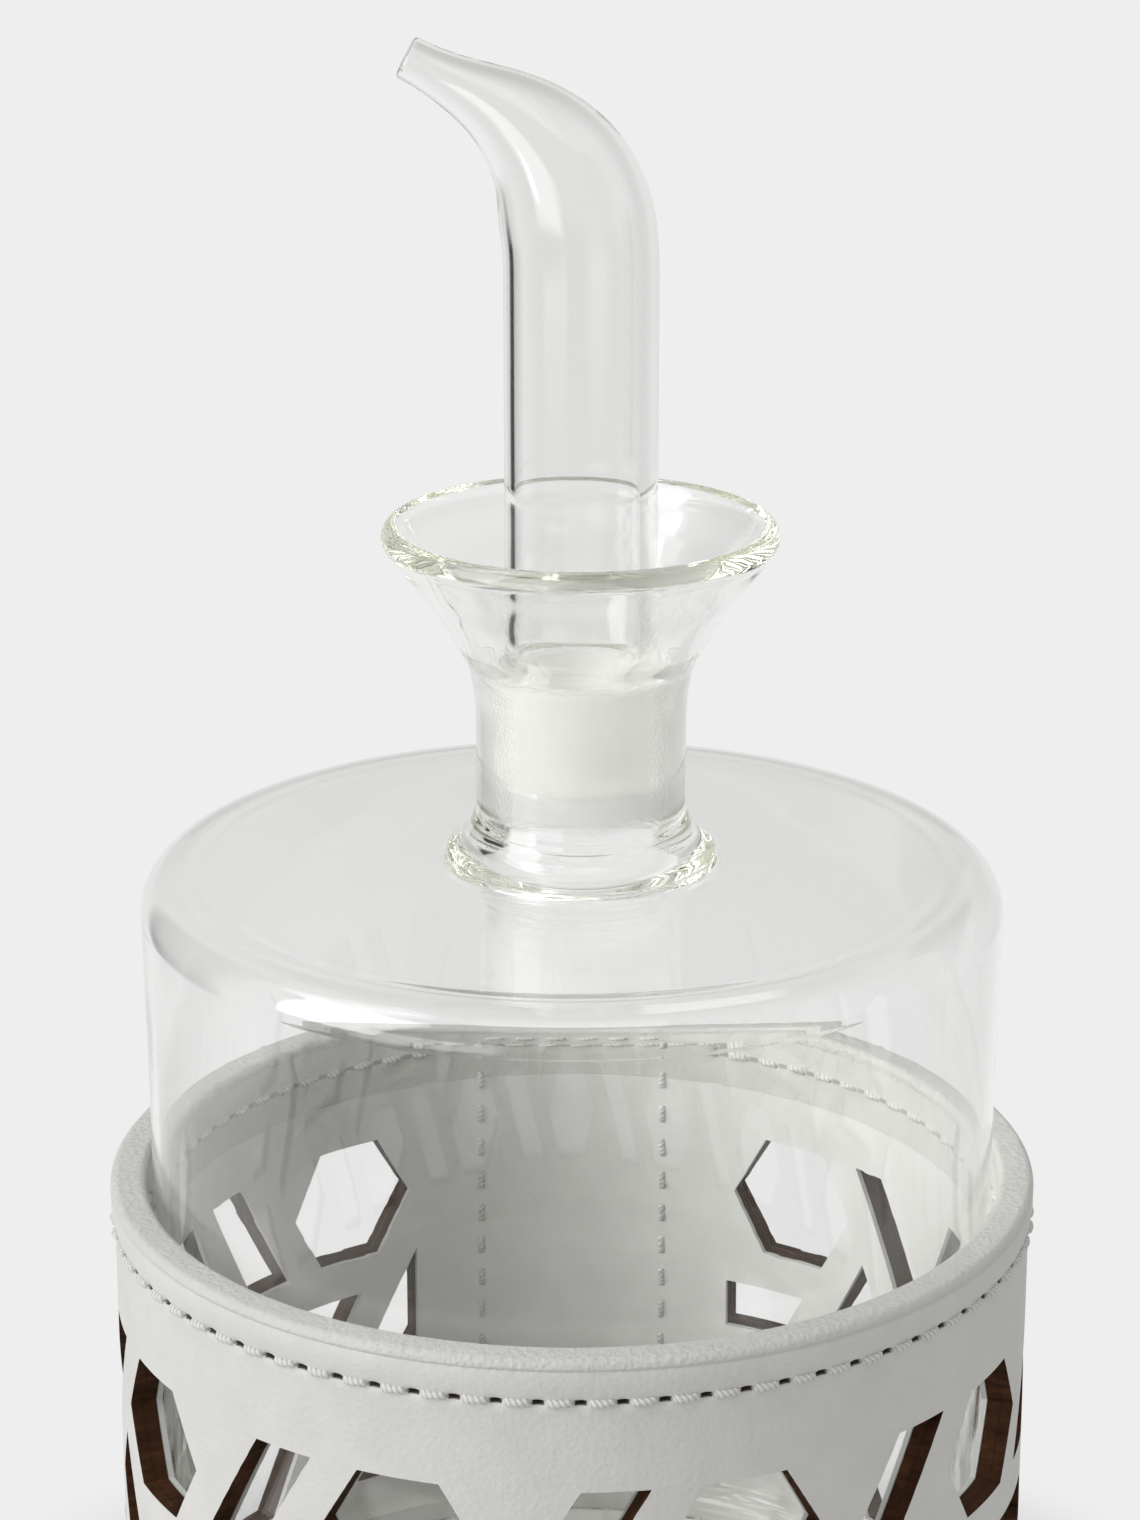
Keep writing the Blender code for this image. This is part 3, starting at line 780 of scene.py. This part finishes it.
def stitches(name, middles, along, outward, length=STITCH_LENGTH):
    """A bar at each of middles[k]. Its centre line runs length along, and stands off by r ((1 -
    s^4) - 0.65), s going from -1 to 1 and r being the thread's radius. Its own radius is r (1 -
    0.45 s^6)(1 + 0.14 cos 2(t - 2 s)) at the angle t round it, and 0 at its ends, which lie under
    the surface. Each bar is turned a little at random."""
    s = np.linspace(-1, 1, STITCH_RINGS)[None, :, None, None]
    t = around(STITCH_SIDES)[None, None, :, None]
    sideways = np.cross(outward, along)
    tilt = draws.normal(0.0, STITCH_TILT, len(middles))[:, None]
    along = along * np.cos(tilt) + sideways * np.sin(tilt)
    sideways = np.cross(outward, along)
    middles, along, outward, sideways = (a[:, None, None, :] for a in (middles, along, outward, sideways))
    radius = THREAD_RADIUS * (1 - 0.45 * s**6) * (1 + 0.14 * np.cos(2 * (t - 2 * s)))
    radius = np.where(np.abs(s) > 0.999, 0.0, radius)
    lift = THREAD_RADIUS * ((1 - s**4) - 0.65)
    rings = (middles + along * s * length / 2 + outward * lift
             + radius * (outward * np.cos(t) + sideways * np.sin(t)))
    return skin(name, rings)


def round_row(name, height, surface, inside=False, gap=0.0):
    """A row of stitches round the sleeve at one height, with none over the strap's angle."""
    angle = STITCH_PHASE + (np.arange(STITCHES_ROUND) + 0.5) * STITCH_PITCH
    angle = (angle + math.pi) % (2 * math.pi) - math.pi
    angle = angle[math.pi - np.abs(angle) > gap]
    along = on_drum(1.0, angle + math.pi / 2, 0.0)
    outward = on_drum(-1.0 if inside else 1.0, angle, 0.0)
    return stitches(name, on_drum(surface, angle, height), along, outward)


thread = thread_finish()
strap_angle = (STRAP_WIDTH / 2 + STRAP_CLEAR) / SLEEVE_RADIUS
for label, row in zip(("rim_stitches", "foot_stitches"), STITCH_ROWS):
    for mesh in (round_row(label, row, SLEEVE_RADIUS, gap=strap_angle),
                 round_row(label + "_inside", row, THREAD_INSIDE, inside=True)):
        place(mesh, [thread], "sleeve", "white_leather")

# %% [markdown]
# The strap has its own row, set in from its edge, round all four sides. The same thread shows on
# the inside of the sleeve as two upright rows and a level one.

# %% Stitch the strap
STRAP_STITCH_INSET = 2.6 * MM
STRAP_STITCH_END = 1.9 * MM
STRAP_STITCH_LENGTH = 2.5 * MM


def strap_row(name, inside):
    """Stitches along a rectangle set in from the strap's edge, spaced evenly on each side."""
    half = STRAP_WIDTH / 2 - STRAP_STITCH_INSET
    low, high = FOOT + STRAP_INSET + STRAP_STITCH_END, RIM - STRAP_INSET - STRAP_STITCH_END
    pitch = STITCH_PITCH * SLEEVE_RADIUS
    middles, alongs = [], []
    corners = np.array([(-half, low), (half, low), (half, high), (-half, high)])
    for start, end in zip(corners, np.roll(corners, -1, axis=0)):
        run = end - start
        count = round(np.hypot(*run) / pitch)
        share = (np.arange(count) + 0.5) / count
        middles.append(start + share[:, None] * run)
        alongs.append(np.repeat(run[None] / np.hypot(*run), count, axis=0))
    flat, way = np.vstack(middles), np.vstack(alongs)
    angle = math.pi - flat[:, 0] / SLEEVE_RADIUS
    level = on_drum(1.0, angle - math.pi / 2, 0.0)
    along = level * way[:, :1] + np.array([0.0, 0.0, 1.0]) * way[:, 1:]
    surface = THREAD_INSIDE if inside else outer_side(flat[:, 1]) + STRAP_LIFT + STRAP_THICKNESS
    outward = on_drum(-1.0 if inside else 1.0, angle, 0.0)
    return stitches(name, on_drum(surface, angle, flat[:, 1]), along, outward, STRAP_STITCH_LENGTH)


place(strap_row("strap_stitches", False), [thread], "sleeve", "white_leather")
place(strap_row("strap_stitches_inside", True), [thread], "sleeve", "lining_leather")

# %% [markdown]
# ## The foot
# Three discs close the sleeve: a lining that the flask stands on, a fibreboard and a felt pad that
# stands a little proud. They are turned with softened edges. Their finishes carry the fibres.

# %% Make the three discs
DISC_EDGE = 0.3 * MM
DISC_COLUMNS = 160


def disc(name, node):
    """A round plate over the solid's own box, with a softened edge."""
    low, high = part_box(node)
    line = rounded([(0.0, high.z), (high.x, high.z, DISC_EDGE), (high.x, low.z, DISC_EDGE), (0.0, low.z)])
    mesh = skin(name, turned(guarded(line), DISC_COLUMNS))
    mesh.set_sharp_from_angle(angle=SHARP)
    return mesh


def fibre_finish(name, dark, light, size, depth, roughness):
    finish = finish_named(name)
    fibres = finish.noise(size, 6.0, 0.65)
    patches = finish.noise(size * 12, 2.0)
    tone = finish.blend((fibres * 0.7 + patches * 0.3).rise(0.3, 0.7), dark, light)
    return finish.surface(finish.opaque(tone, roughness - fibres * 0.1, 0.2, finish.bump(fibres, depth)))


felt = fibre_finish("grey_felt", (0.20, 0.20, 0.19), (0.36, 0.35, 0.33), 0.35 * MM, 0.15 * MM, 0.98)
board = fibre_finish("fibreboard", (0.10, 0.055, 0.033), (0.19, 0.115, 0.07), 0.5 * MM, 0.06 * MM, 0.9)
place(disc("lining_disc", "base_lining"), [lining_leather], "sleeve", "lining_leather", "base_lining")
place(disc("board_disc", "base_board"), [board], "sleeve", "base_board", "base_board")
place(disc("felt_pad", "foot_pad"), [felt], "sleeve", "foot_felt", "foot_pad")

# %% [markdown]
# ## Glass
# Clear glass needs real walls: the light bends at each side of them, and that draws the bright and
# dark lines at their edges. So the flask and the spout are closed skins with an inside and an
# outside. A faint absorption inside the wall gives the olive of a thick edge. Lamps reach
# what stands behind the glass through a Transparent shader that only shadow rays meet, because
# light that is bent on its way from a lamp takes very many samples to find. Light that has bent
# and bounced LATE times inside the walls goes straight on as well.

# %% Make the glass finish
GLASS_IOR = 1.48
GLASS_DEPTH_COLOUR = (0.84, 0.86, 0.60)
GLASS_DENSITY = 9.0
NECK_OFFSET = 0.83 * MM
GROUND_RADII = (5.85 * MM, 9.0 * MM)
GROUND_LOW = JOINT_FOOT - 2.8 * MM
GROUND_HIGH = JOINT_FOOT + 10.9 * MM
GROUND_WANDER = 1.6 * MM
GROUND_FADES = (1.8 * MM, 1.6 * MM)
GROUND_EDGE = 0.1 * MM
LATE = 20


def ground_share(finish):
    """1 on the ground band and 0 on clear glass, with ends that wander a little up and down."""
    radius, height = round_place(finish, NECK_OFFSET)[1:]
    low, high = GROUND_RADII
    band = radius.rise(low, low + GROUND_EDGE) * radius.rise(high, high - GROUND_EDGE)
    up = height + finish.noise(4.0 * MM, 3.0) * GROUND_WANDER
    below, above = GROUND_FADES
    return band * up.rise(GROUND_LOW, GROUND_LOW + below) * up.rise(GROUND_HIGH + above, GROUND_HIGH)


def glass(name):
    """Clear blown glass, and the same glass ground matt where the two pieces meet."""
    finish = finish_named(name)
    waves = finish.noise(16.0 * MM, 1.0)
    grit = finish.noise(0.25 * MM, 3.0, 0.7)
    clear = finish.principled(
        (1.0, 1.0, 1.0), waves.rise(0.2, 0.9) * 0.02, finish.bump(waves, 0.05 * MM),
        {"IOR": GLASS_IOR, "Transmission Weight": 1.0})
    matt = finish.principled(
        (0.975, 0.975, 0.960), 0.50 + grit * 0.25, finish.bump(grit, 0.03 * MM),
        {"IOR": GLASS_IOR, "Transmission Weight": 0.78})
    body = finish.node("ShaderNodeMixShader", (), {0: ground_share(finish), 1: clear, 2: matt})
    passing = finish.node("ShaderNodeBsdfTransparent", (), {"Color": (0.965, 0.965, 0.965)})
    straight = finish.ray("Is Shadow Ray").most(finish.ray("Ray Depth").rise(LATE, LATE + 1))
    shader = finish.node("ShaderNodeMixShader", (), {0: straight, 1: body, 2: passing})
    depth = finish.node("ShaderNodeVolumeAbsorption", (), {
        "Color": GLASS_DEPTH_COLOUR, "Density": GLASS_DENSITY})
    finish.node("ShaderNodeOutputMaterial", (), {"Surface": shader, "Volume": depth})
    return finish.owner


clear_glass = glass("clear_glass")

# %% [markdown]
# ### The flask
# One profile runs from the middle of the floor up the inside, over the lip and down the outside to
# the middle of the foot. The body is straight with rounded corners. The neck and the funnel were
# drawn at the lamp, so their line passes smoothly through points measured in the photograph.

# %% Blow the flask
FLASK_RADIUS = 40.0 * MM
FLASK_WALL = 0.8 * MM
FLASK_FLOOR = 3.2 * MM
FOOT_CURVE = 5.0 * MM
FOOT_RECESS = 0.7 * MM
SHOULDER_CURVE = 3.8 * MM
NECK_CURVE = 3.0 * MM
RING_STEP, PLAIN_STEP = 0.5 * MM, 3.0 * MM
BULGE = 0.32 * MM
BULGE_DEPTHS = (3.0 * MM, 24.0 * MM)
RIPPLE = 0.028 * MM
RIPPLE_PITCH = 2.2 * MM
RIPPLE_RADII = (33.0 * MM, 39.0 * MM)
DOME_RISE = 0.9 * MM
JOINT_ABOVE_DOME = 7.8 * MM
JOINT_LENGTH = 11.0 * MM
SOCKET_FOOT_RADIUS = 7.55 * MM
FLASK_COLUMNS = 168
DOME = JOINT_FOOT - JOINT_ABOVE_DOME
SHOULDER = DOME - DOME_RISE

# Radius and height above the sleeve's rim, in millimetres, from the socket's top over the funnel's
# lip and down the outside to the ridges at the neck's foot
NECK_LINE = [(8.10, 49.55), (8.45, 50.3), (9.25, 51.5), (10.35, 53.4), (11.5, 55.3), (13.35, 58.0),
             (15.2, 60.3), (15.95, 61.4), (16.4, 62.2), (17.1, 62.6), (17.75, 62.25), (18.08, 61.5),
             (18.0, 60.75), (17.3, 59.8), (15.5, 57.4), (13.75, 55.2), (12.54, 53.3), (11.46, 51.4),
             (10.43, 49.5), (9.98, 47.6), (9.72, 45.5), (9.65, 42.0), (9.65, 38.0), (9.66, 36.2),
             (9.78, 35.4), (10.0, 34.7), (10.12, 34.2), (10.5, 33.5), (10.75, 33.05), (11.35, 32.5),
             (12.0, 32.1), (12.4, 31.7), (12.5, 31.25), (12.35, 30.95), (12.75, 30.75)]
NECK_BLENDS = (34.0 * MM, 15.0 * MM)


def divided(line):
    """The line with its long steps cut up, finely where the rings are."""
    points = [line[:1]]
    for start, end in zip(line[:-1], line[1:]):
        high = min(start[1], end[1]) > SHOULDER - SHOULDER_CURVE
        ringed = high and max(start[0], end[0]) > RIPPLE_RADII[0]
        parts = math.ceil(np.hypot(*(end - start)) / (RING_STEP if ringed else PLAIN_STEP))
        points.append(start + (end - start) * (np.arange(1, parts + 1) / parts)[:, None])
    return np.vstack(points)


def ripple(radius):
    """Rings left by the blowing: RIPPLE sin(2 pi r / RIPPLE_PITCH), dying away at RIPPLE_RADII."""
    low, high = RIPPLE_RADII
    share = np.clip((radius - low) / (high - low), 0, 1)
    return RIPPLE * np.sin(2 * math.pi * radius / RIPPLE_PITCH) * np.sin(math.pi * share)


def flask_profile():
    """The profile, from the middle of the floor round to the middle of the foot. Below the
    shoulder all radii shrink smoothly by BULGE, so the body is fullest just under it."""
    inside = FLASK_RADIUS - FLASK_WALL
    lower = rounded([
        (0.0, FLASK_FOOT + FLASK_FLOOR),
        (inside, FLASK_FOOT + FLASK_FLOOR, FOOT_CURVE - FLASK_WALL),
        (inside, SHOULDER - FLASK_WALL, SHOULDER_CURVE - FLASK_WALL),
        (SOCKET_FOOT_RADIUS, DOME - FLASK_WALL, NECK_CURVE),
        (SOCKET_FOOT_RADIUS, JOINT_FOOT)])
    drawn = through(np.array(NECK_LINE) * MM + (0.0, RIM), 5)
    drawn[:, 1] += JOINT_FOOT + JOINT_LENGTH - drawn[0, 1]
    flat = FLASK_RADIUS - 2 * FOOT_CURVE
    upper = rounded([
        drawn[-1], (FLASK_RADIUS, SHOULDER, SHOULDER_CURVE), (FLASK_RADIUS, FLASK_FOOT, FOOT_CURVE),
        (flat, FLASK_FOOT, FOOT_CURVE), (flat / 2, FLASK_FOOT + FOOT_RECESS, FOOT_CURVE),
        (0.0, FLASK_FOOT + FOOT_RECESS)])
    lower = guarded(divided(lower))
    lower[:, 1] += np.where(lower[:, 1] > SHOULDER / 2, ripple(lower[:, 0]), 0.0)
    line = np.vstack([lower, drawn, guarded(divided(upper))[1:]])
    start, end = BULGE_DEPTHS
    line[:, 0] *= 1 - BULGE / FLASK_RADIUS * eased((SHOULDER - start - line[:, 1]) / (end - start))
    return line


def neck_shifted(rings):
    """Moves the neck off the body's axis by NECK_OFFSET, eased in from the shoulder to the neck."""
    start, end = NECK_BLENDS
    share = eased((start - np.hypot(rings[..., 0], rings[..., 1])) / (start - end))
    rings[..., 0] += NECK_OFFSET * np.where(rings[..., 2] > SHOULDER / 2, share, 0.0)
    return rings


flask_rings = neck_shifted(turned(flask_profile(), FLASK_COLUMNS))
flask_mesh = skin("blown_flask", flask_rings)
place(flask_mesh, [clear_glass], "flask", "clear_glass", "glass_flask")

# %% [markdown]
# ### The spout
# The spout is one skin too: up the outside from the ground cone to the tip, over the tip and back
# down the bore. Its middle line is straight, then bends over to the left, and it thins towards
# the tip while the wall thins with it.

# %% Draw the spout
CONE_FOOT_RADIUS = 7.35 * MM
CONE_TOP_RADIUS = 7.9 * MM
TUBE_RADIUS = 6.96 * MM
TUBE_WALL = 1.25 * MM
BEND_START = 45.6 * MM
BEND_LENGTH = 22.9 * MM
BEND_ANGLE = math.radians(62.4)
NOSE_LENGTH = 5.0 * MM
CONE_BLEND = 1.9 * MM
TAPER_START = 51.1 * MM
TIP_RADIUS = 1.98 * MM
TIP_WALL = 0.7 * MM
TAPER_POWER = 2.11
BORE_OFFSET = 0.25 * MM
SPOUT_COLUMNS = 128


def spout_course():
    """Places up the middle of the spout, the lean there, and the outer radius.

    The lean is eased from 0 to BEND_ANGLE over the bend. The middle line is the sum of short
    steps, each in the direction (-sin lean, cos lean). From TAPER_START on, the radius falls from
    the tube's to the tip's as cos(pi/2 share)^power. Rings stand close together where the radius
    or the direction changes."""
    end = BEND_START + BEND_LENGTH + NOSE_LENGTH
    along = np.concatenate([[0.0, 2.0 * MM], np.linspace(10.9 * MM, 13.4 * MM, 14), [16 * MM, 24 * MM],
                            np.linspace(32 * MM, end, 84)])
    fine = np.linspace(0.0, end, 4001)
    lean = BEND_ANGLE * eased((fine - BEND_START) / BEND_LENGTH)
    halfway = (lean[1:] + lean[:-1]) / 2
    x, z = (np.concatenate([[0], np.cumsum(way)]) * (fine[1] - fine[0])
            for way in (-np.sin(halfway), np.cos(halfway)))
    share = np.clip((along - TAPER_START) / (end - TAPER_START), 0, 1)
    radius = TIP_RADIUS + (TUBE_RADIUS - TIP_RADIUS) * np.cos(math.pi / 2 * share) ** TAPER_POWER
    cone = CONE_FOOT_RADIUS + (CONE_TOP_RADIUS - CONE_FOOT_RADIUS) * along / JOINT_LENGTH
    blend = eased((along - JOINT_LENGTH) / CONE_BLEND)
    radius = np.where(along < JOINT_LENGTH, cone, np.where(
        along < TAPER_START, CONE_TOP_RADIUS + (TUBE_RADIUS - CONE_TOP_RADIUS) * blend, radius))
    return *(np.interp(along, fine, line) for line in (NECK_OFFSET + x, z, lean)), radius


def hoops(x, z, lean, radius):
    """Rings square to the middle line: middle + r (cos t across - sin t y)."""
    t = around(SPOUT_COLUMNS)
    across = np.stack([np.cos(lean), 0 * lean, np.sin(lean)], -1)[:, None]
    middle = np.stack([x, 0 * x, z + JOINT_FOOT], -1)[:, None]
    out = radius[:, None, None]
    cos, sin = np.cos(t)[None, :, None], np.sin(t)[None, :, None]
    return middle + out * (across * cos - np.array([0.0, 1.0, 0.0]) * sin)


def spout_rings():
    """Up the outside, over a half-round lip at the tip and down the bore, whose middle lies a
    little to the left."""
    x, z, lean, outer = spout_course()
    thin = (TUBE_WALL - TIP_WALL) / (TUBE_RADIUS - TIP_RADIUS)
    tube = np.minimum(outer, TUBE_RADIUS)
    bore = tube - TIP_WALL - thin * (tube - TIP_RADIUS)
    turn = np.linspace(0, math.pi, 10)[1:-1]
    lip, middle = TIP_WALL / 2, TIP_RADIUS - TIP_WALL / 2
    ahead = lip * np.sin(turn) - lip
    sin, cos = math.sin(lean[-1]), math.cos(lean[-1])
    tip_x, tip_z = x[-1] - sin * ahead, z[-1] + cos * ahead
    up_x, up_z = np.append(x[:-1], x[-1] + sin * lip), np.append(z[:-1], z[-1] - cos * lip)
    up = hoops(up_x, up_z, lean, outer)
    over = hoops(tip_x, tip_z, np.full(turn.shape, lean[-1]), middle + lip * np.cos(turn))
    aside = BORE_OFFSET * (bore - bore[-1]) / (bore[0] - bore[-1])
    down = hoops((up_x - aside)[::-1], up_z[::-1], lean[::-1], bore[::-1])
    return np.concatenate([up, over, down])


spout_mesh = skin("pouring_spout", spout_rings(), closed=True)
place(spout_mesh, [clear_glass], "spout", "clear_glass", "pour_spout")

# %% [markdown]
# ## Studio
# The background of the photograph is one even pale grey. The world shows that grey to the camera
# and to rays that glass bends or mirrors, and lights everything else at a plain level. The floor
# is a real surface near the object, where it holds the shadow, and fades into the same grey
# further out. One large soft light stands to the left.

# %% Make the floor and the world
BACKDROP = (0.855, 0.855, 0.855)
FLOOR_RADIUS = 0.13
FLOOR_COLUMNS = 128
SHADOW_FADES = (50.0 * MM, 80.0 * MM)
AMBIENT = (0.50, 0.50, 0.50)
LOW_BACKDROP = (0.78, 0.78, 0.77)
DARK_LEFT = (0.02, 0.02, 0.02)
DIM_RIGHT = (0.68, 0.68, 0.68)
DIM_ABOVE = (0.56, 0.56, 0.55)
DIM_BEHIND = (0.70, 0.70, 0.68)
LOW_BEHIND = (0.30, 0.30, 0.29)
SOFT_BOX = (3.0, 3.0, 3.0)
BOX_AZIMUTH = math.radians(96)


def seen_rays(finish):
    """1 for rays that show the background: from the camera, from a mirror and through glass."""
    direct = finish.ray("Is Camera Ray")
    return direct.most(finish.ray("Is Glossy Ray")).most(finish.ray("Is Transmission Ray"))


def floor_finish():
    finish = finish_named("studio_floor")
    radius = round_place(finish)[1]
    paper = finish.noise(2.0 * MM, 3.0)
    near = finish.opaque((0.82, 0.82, 0.82), 0.9, 0.1, finish.bump(paper, 0.05 * MM))
    far = finish.node("ShaderNodeEmission", (), {"Color": BACKDROP, "Strength": 1.0})
    fade = radius.rise(*SHADOW_FADES) * seen_rays(finish)
    return finish.surface(finish.node("ShaderNodeMixShader", (), {0: fade, 1: near, 2: far}))


def studio(finish):
    """What glass shows of the room: x, y and z are the direction looked in. The backdrop stands
    straight ahead and to the right, the room is dim above and behind the camera, and a black card
    stands at the left. A soft box hangs high: it fills the part of the view where side and up,
    the slopes seen from BOX_AZIMUTH, are between its edges. A lower one stands near the camera.
    Each pair of numbers says where a part begins to show and where it shows fully."""
    x, y, z = finish.parts(finish.node("ShaderNodeTexCoord", out="Generated"))
    tone = finish.blend(z.rise(-0.42, -0.20), BACKDROP, LOW_BACKDROP)
    tone = finish.blend(z.rise(-0.10, 0.30), tone, DIM_ABOVE)
    tone = finish.blend(x.rise(0.25, 0.70), tone, DIM_RIGHT)
    card = x.rise(-0.50, -0.64) * y.rise(0.15, 0.35) * z.rise(-0.38, -0.28)
    tone = finish.blend(card, tone, DARK_LEFT)
    behind = finish.blend(z.rise(-0.15, 0.05), LOW_BEHIND, DIM_BEHIND)
    tone = finish.blend(y.rise(0.10, -0.35), tone, behind)
    ahead = x * -math.sin(BOX_AZIMUTH) + y * math.cos(BOX_AZIMUTH)
    side = (y * -math.sin(BOX_AZIMUTH) - x * math.cos(BOX_AZIMUTH)) / ahead.most(0.01)
    up = z / ahead.most(0.01)
    high = side.rise(-0.34, -0.28) * side.rise(0.34, 0.28) * up.rise(0.85, 1.0) * up.rise(2.7, 2.4)
    low = y.rise(-0.45, -0.60) * x.rise(-0.28, -0.36) * z.rise(-0.27, -0.12) * z.rise(0.24, 0.20)
    return finish.blend((high * ahead.rise(0.05, 0.10)).most(low * 0.9), tone, SOFT_BOX)


floor_rings = turned(np.array([(0.0, 0.0), (0.05, 0.0), (FLOOR_RADIUS, 0.0)]), FLOOR_COLUMNS)
floor_mesh = skin("studio_floor", floor_rings[::-1])
floor = shown("studio_floor", floor_mesh, floor_finish())

world = bpy.data.worlds.new("Studio")
scene.world = world
finish = Finish(world)
seen = finish.blend(finish.ray("Is Camera Ray"), studio(finish), BACKDROP)
tone = finish.blend(seen_rays(finish), AMBIENT, seen)
sky = finish.node("ShaderNodeBackground", (), {"Color": tone})
finish.node("ShaderNodeOutputWorld", (), {"Surface": sky})

# %% [markdown]
# A lamp's power that gives a plain level is worked out: a surface square to the lamp at a distance
# d gets power / (pi d2), and pi times less than that leaves it.

# %% Hang the lamps
LAMP_AIM = (0.0, 0.0, 0.07)


def soft_light(name, at, aim, size, level):
    """An area lamp. level is how bright it makes a white surface that faces it at its aim."""
    lamp = bpy.data.lights.new(name, "AREA")
    lamp.shape, lamp.size, lamp.size_y = "RECTANGLE", *size
    towards = Vector(aim) - Vector(at)
    lamp.energy = level * math.pi**2 * towards.length_squared
    holder = shown(name, lamp)
    holder.location = at
    holder.rotation_euler = towards.to_track_quat("-Z", "Y").to_euler()
    print("%s %.1f W" % (name, lamp.energy))


soft_light("key", (-0.66, -0.32, 0.42), LAMP_AIM, (0.45, 0.7), 0.57)
soft_light("fill", (0.0, -0.35, 0.85), LAMP_AIM, (0.5, 0.5), 0.07)

scene.view_settings.view_transform = "Standard"
scene.cycles.max_bounces = 24
scene.cycles.diffuse_bounces = 8
scene.cycles.glossy_bounces = 24
scene.cycles.transmission_bounces = 24
scene.cycles.transparent_max_bounces = 24
scene.cycles.use_denoising = True
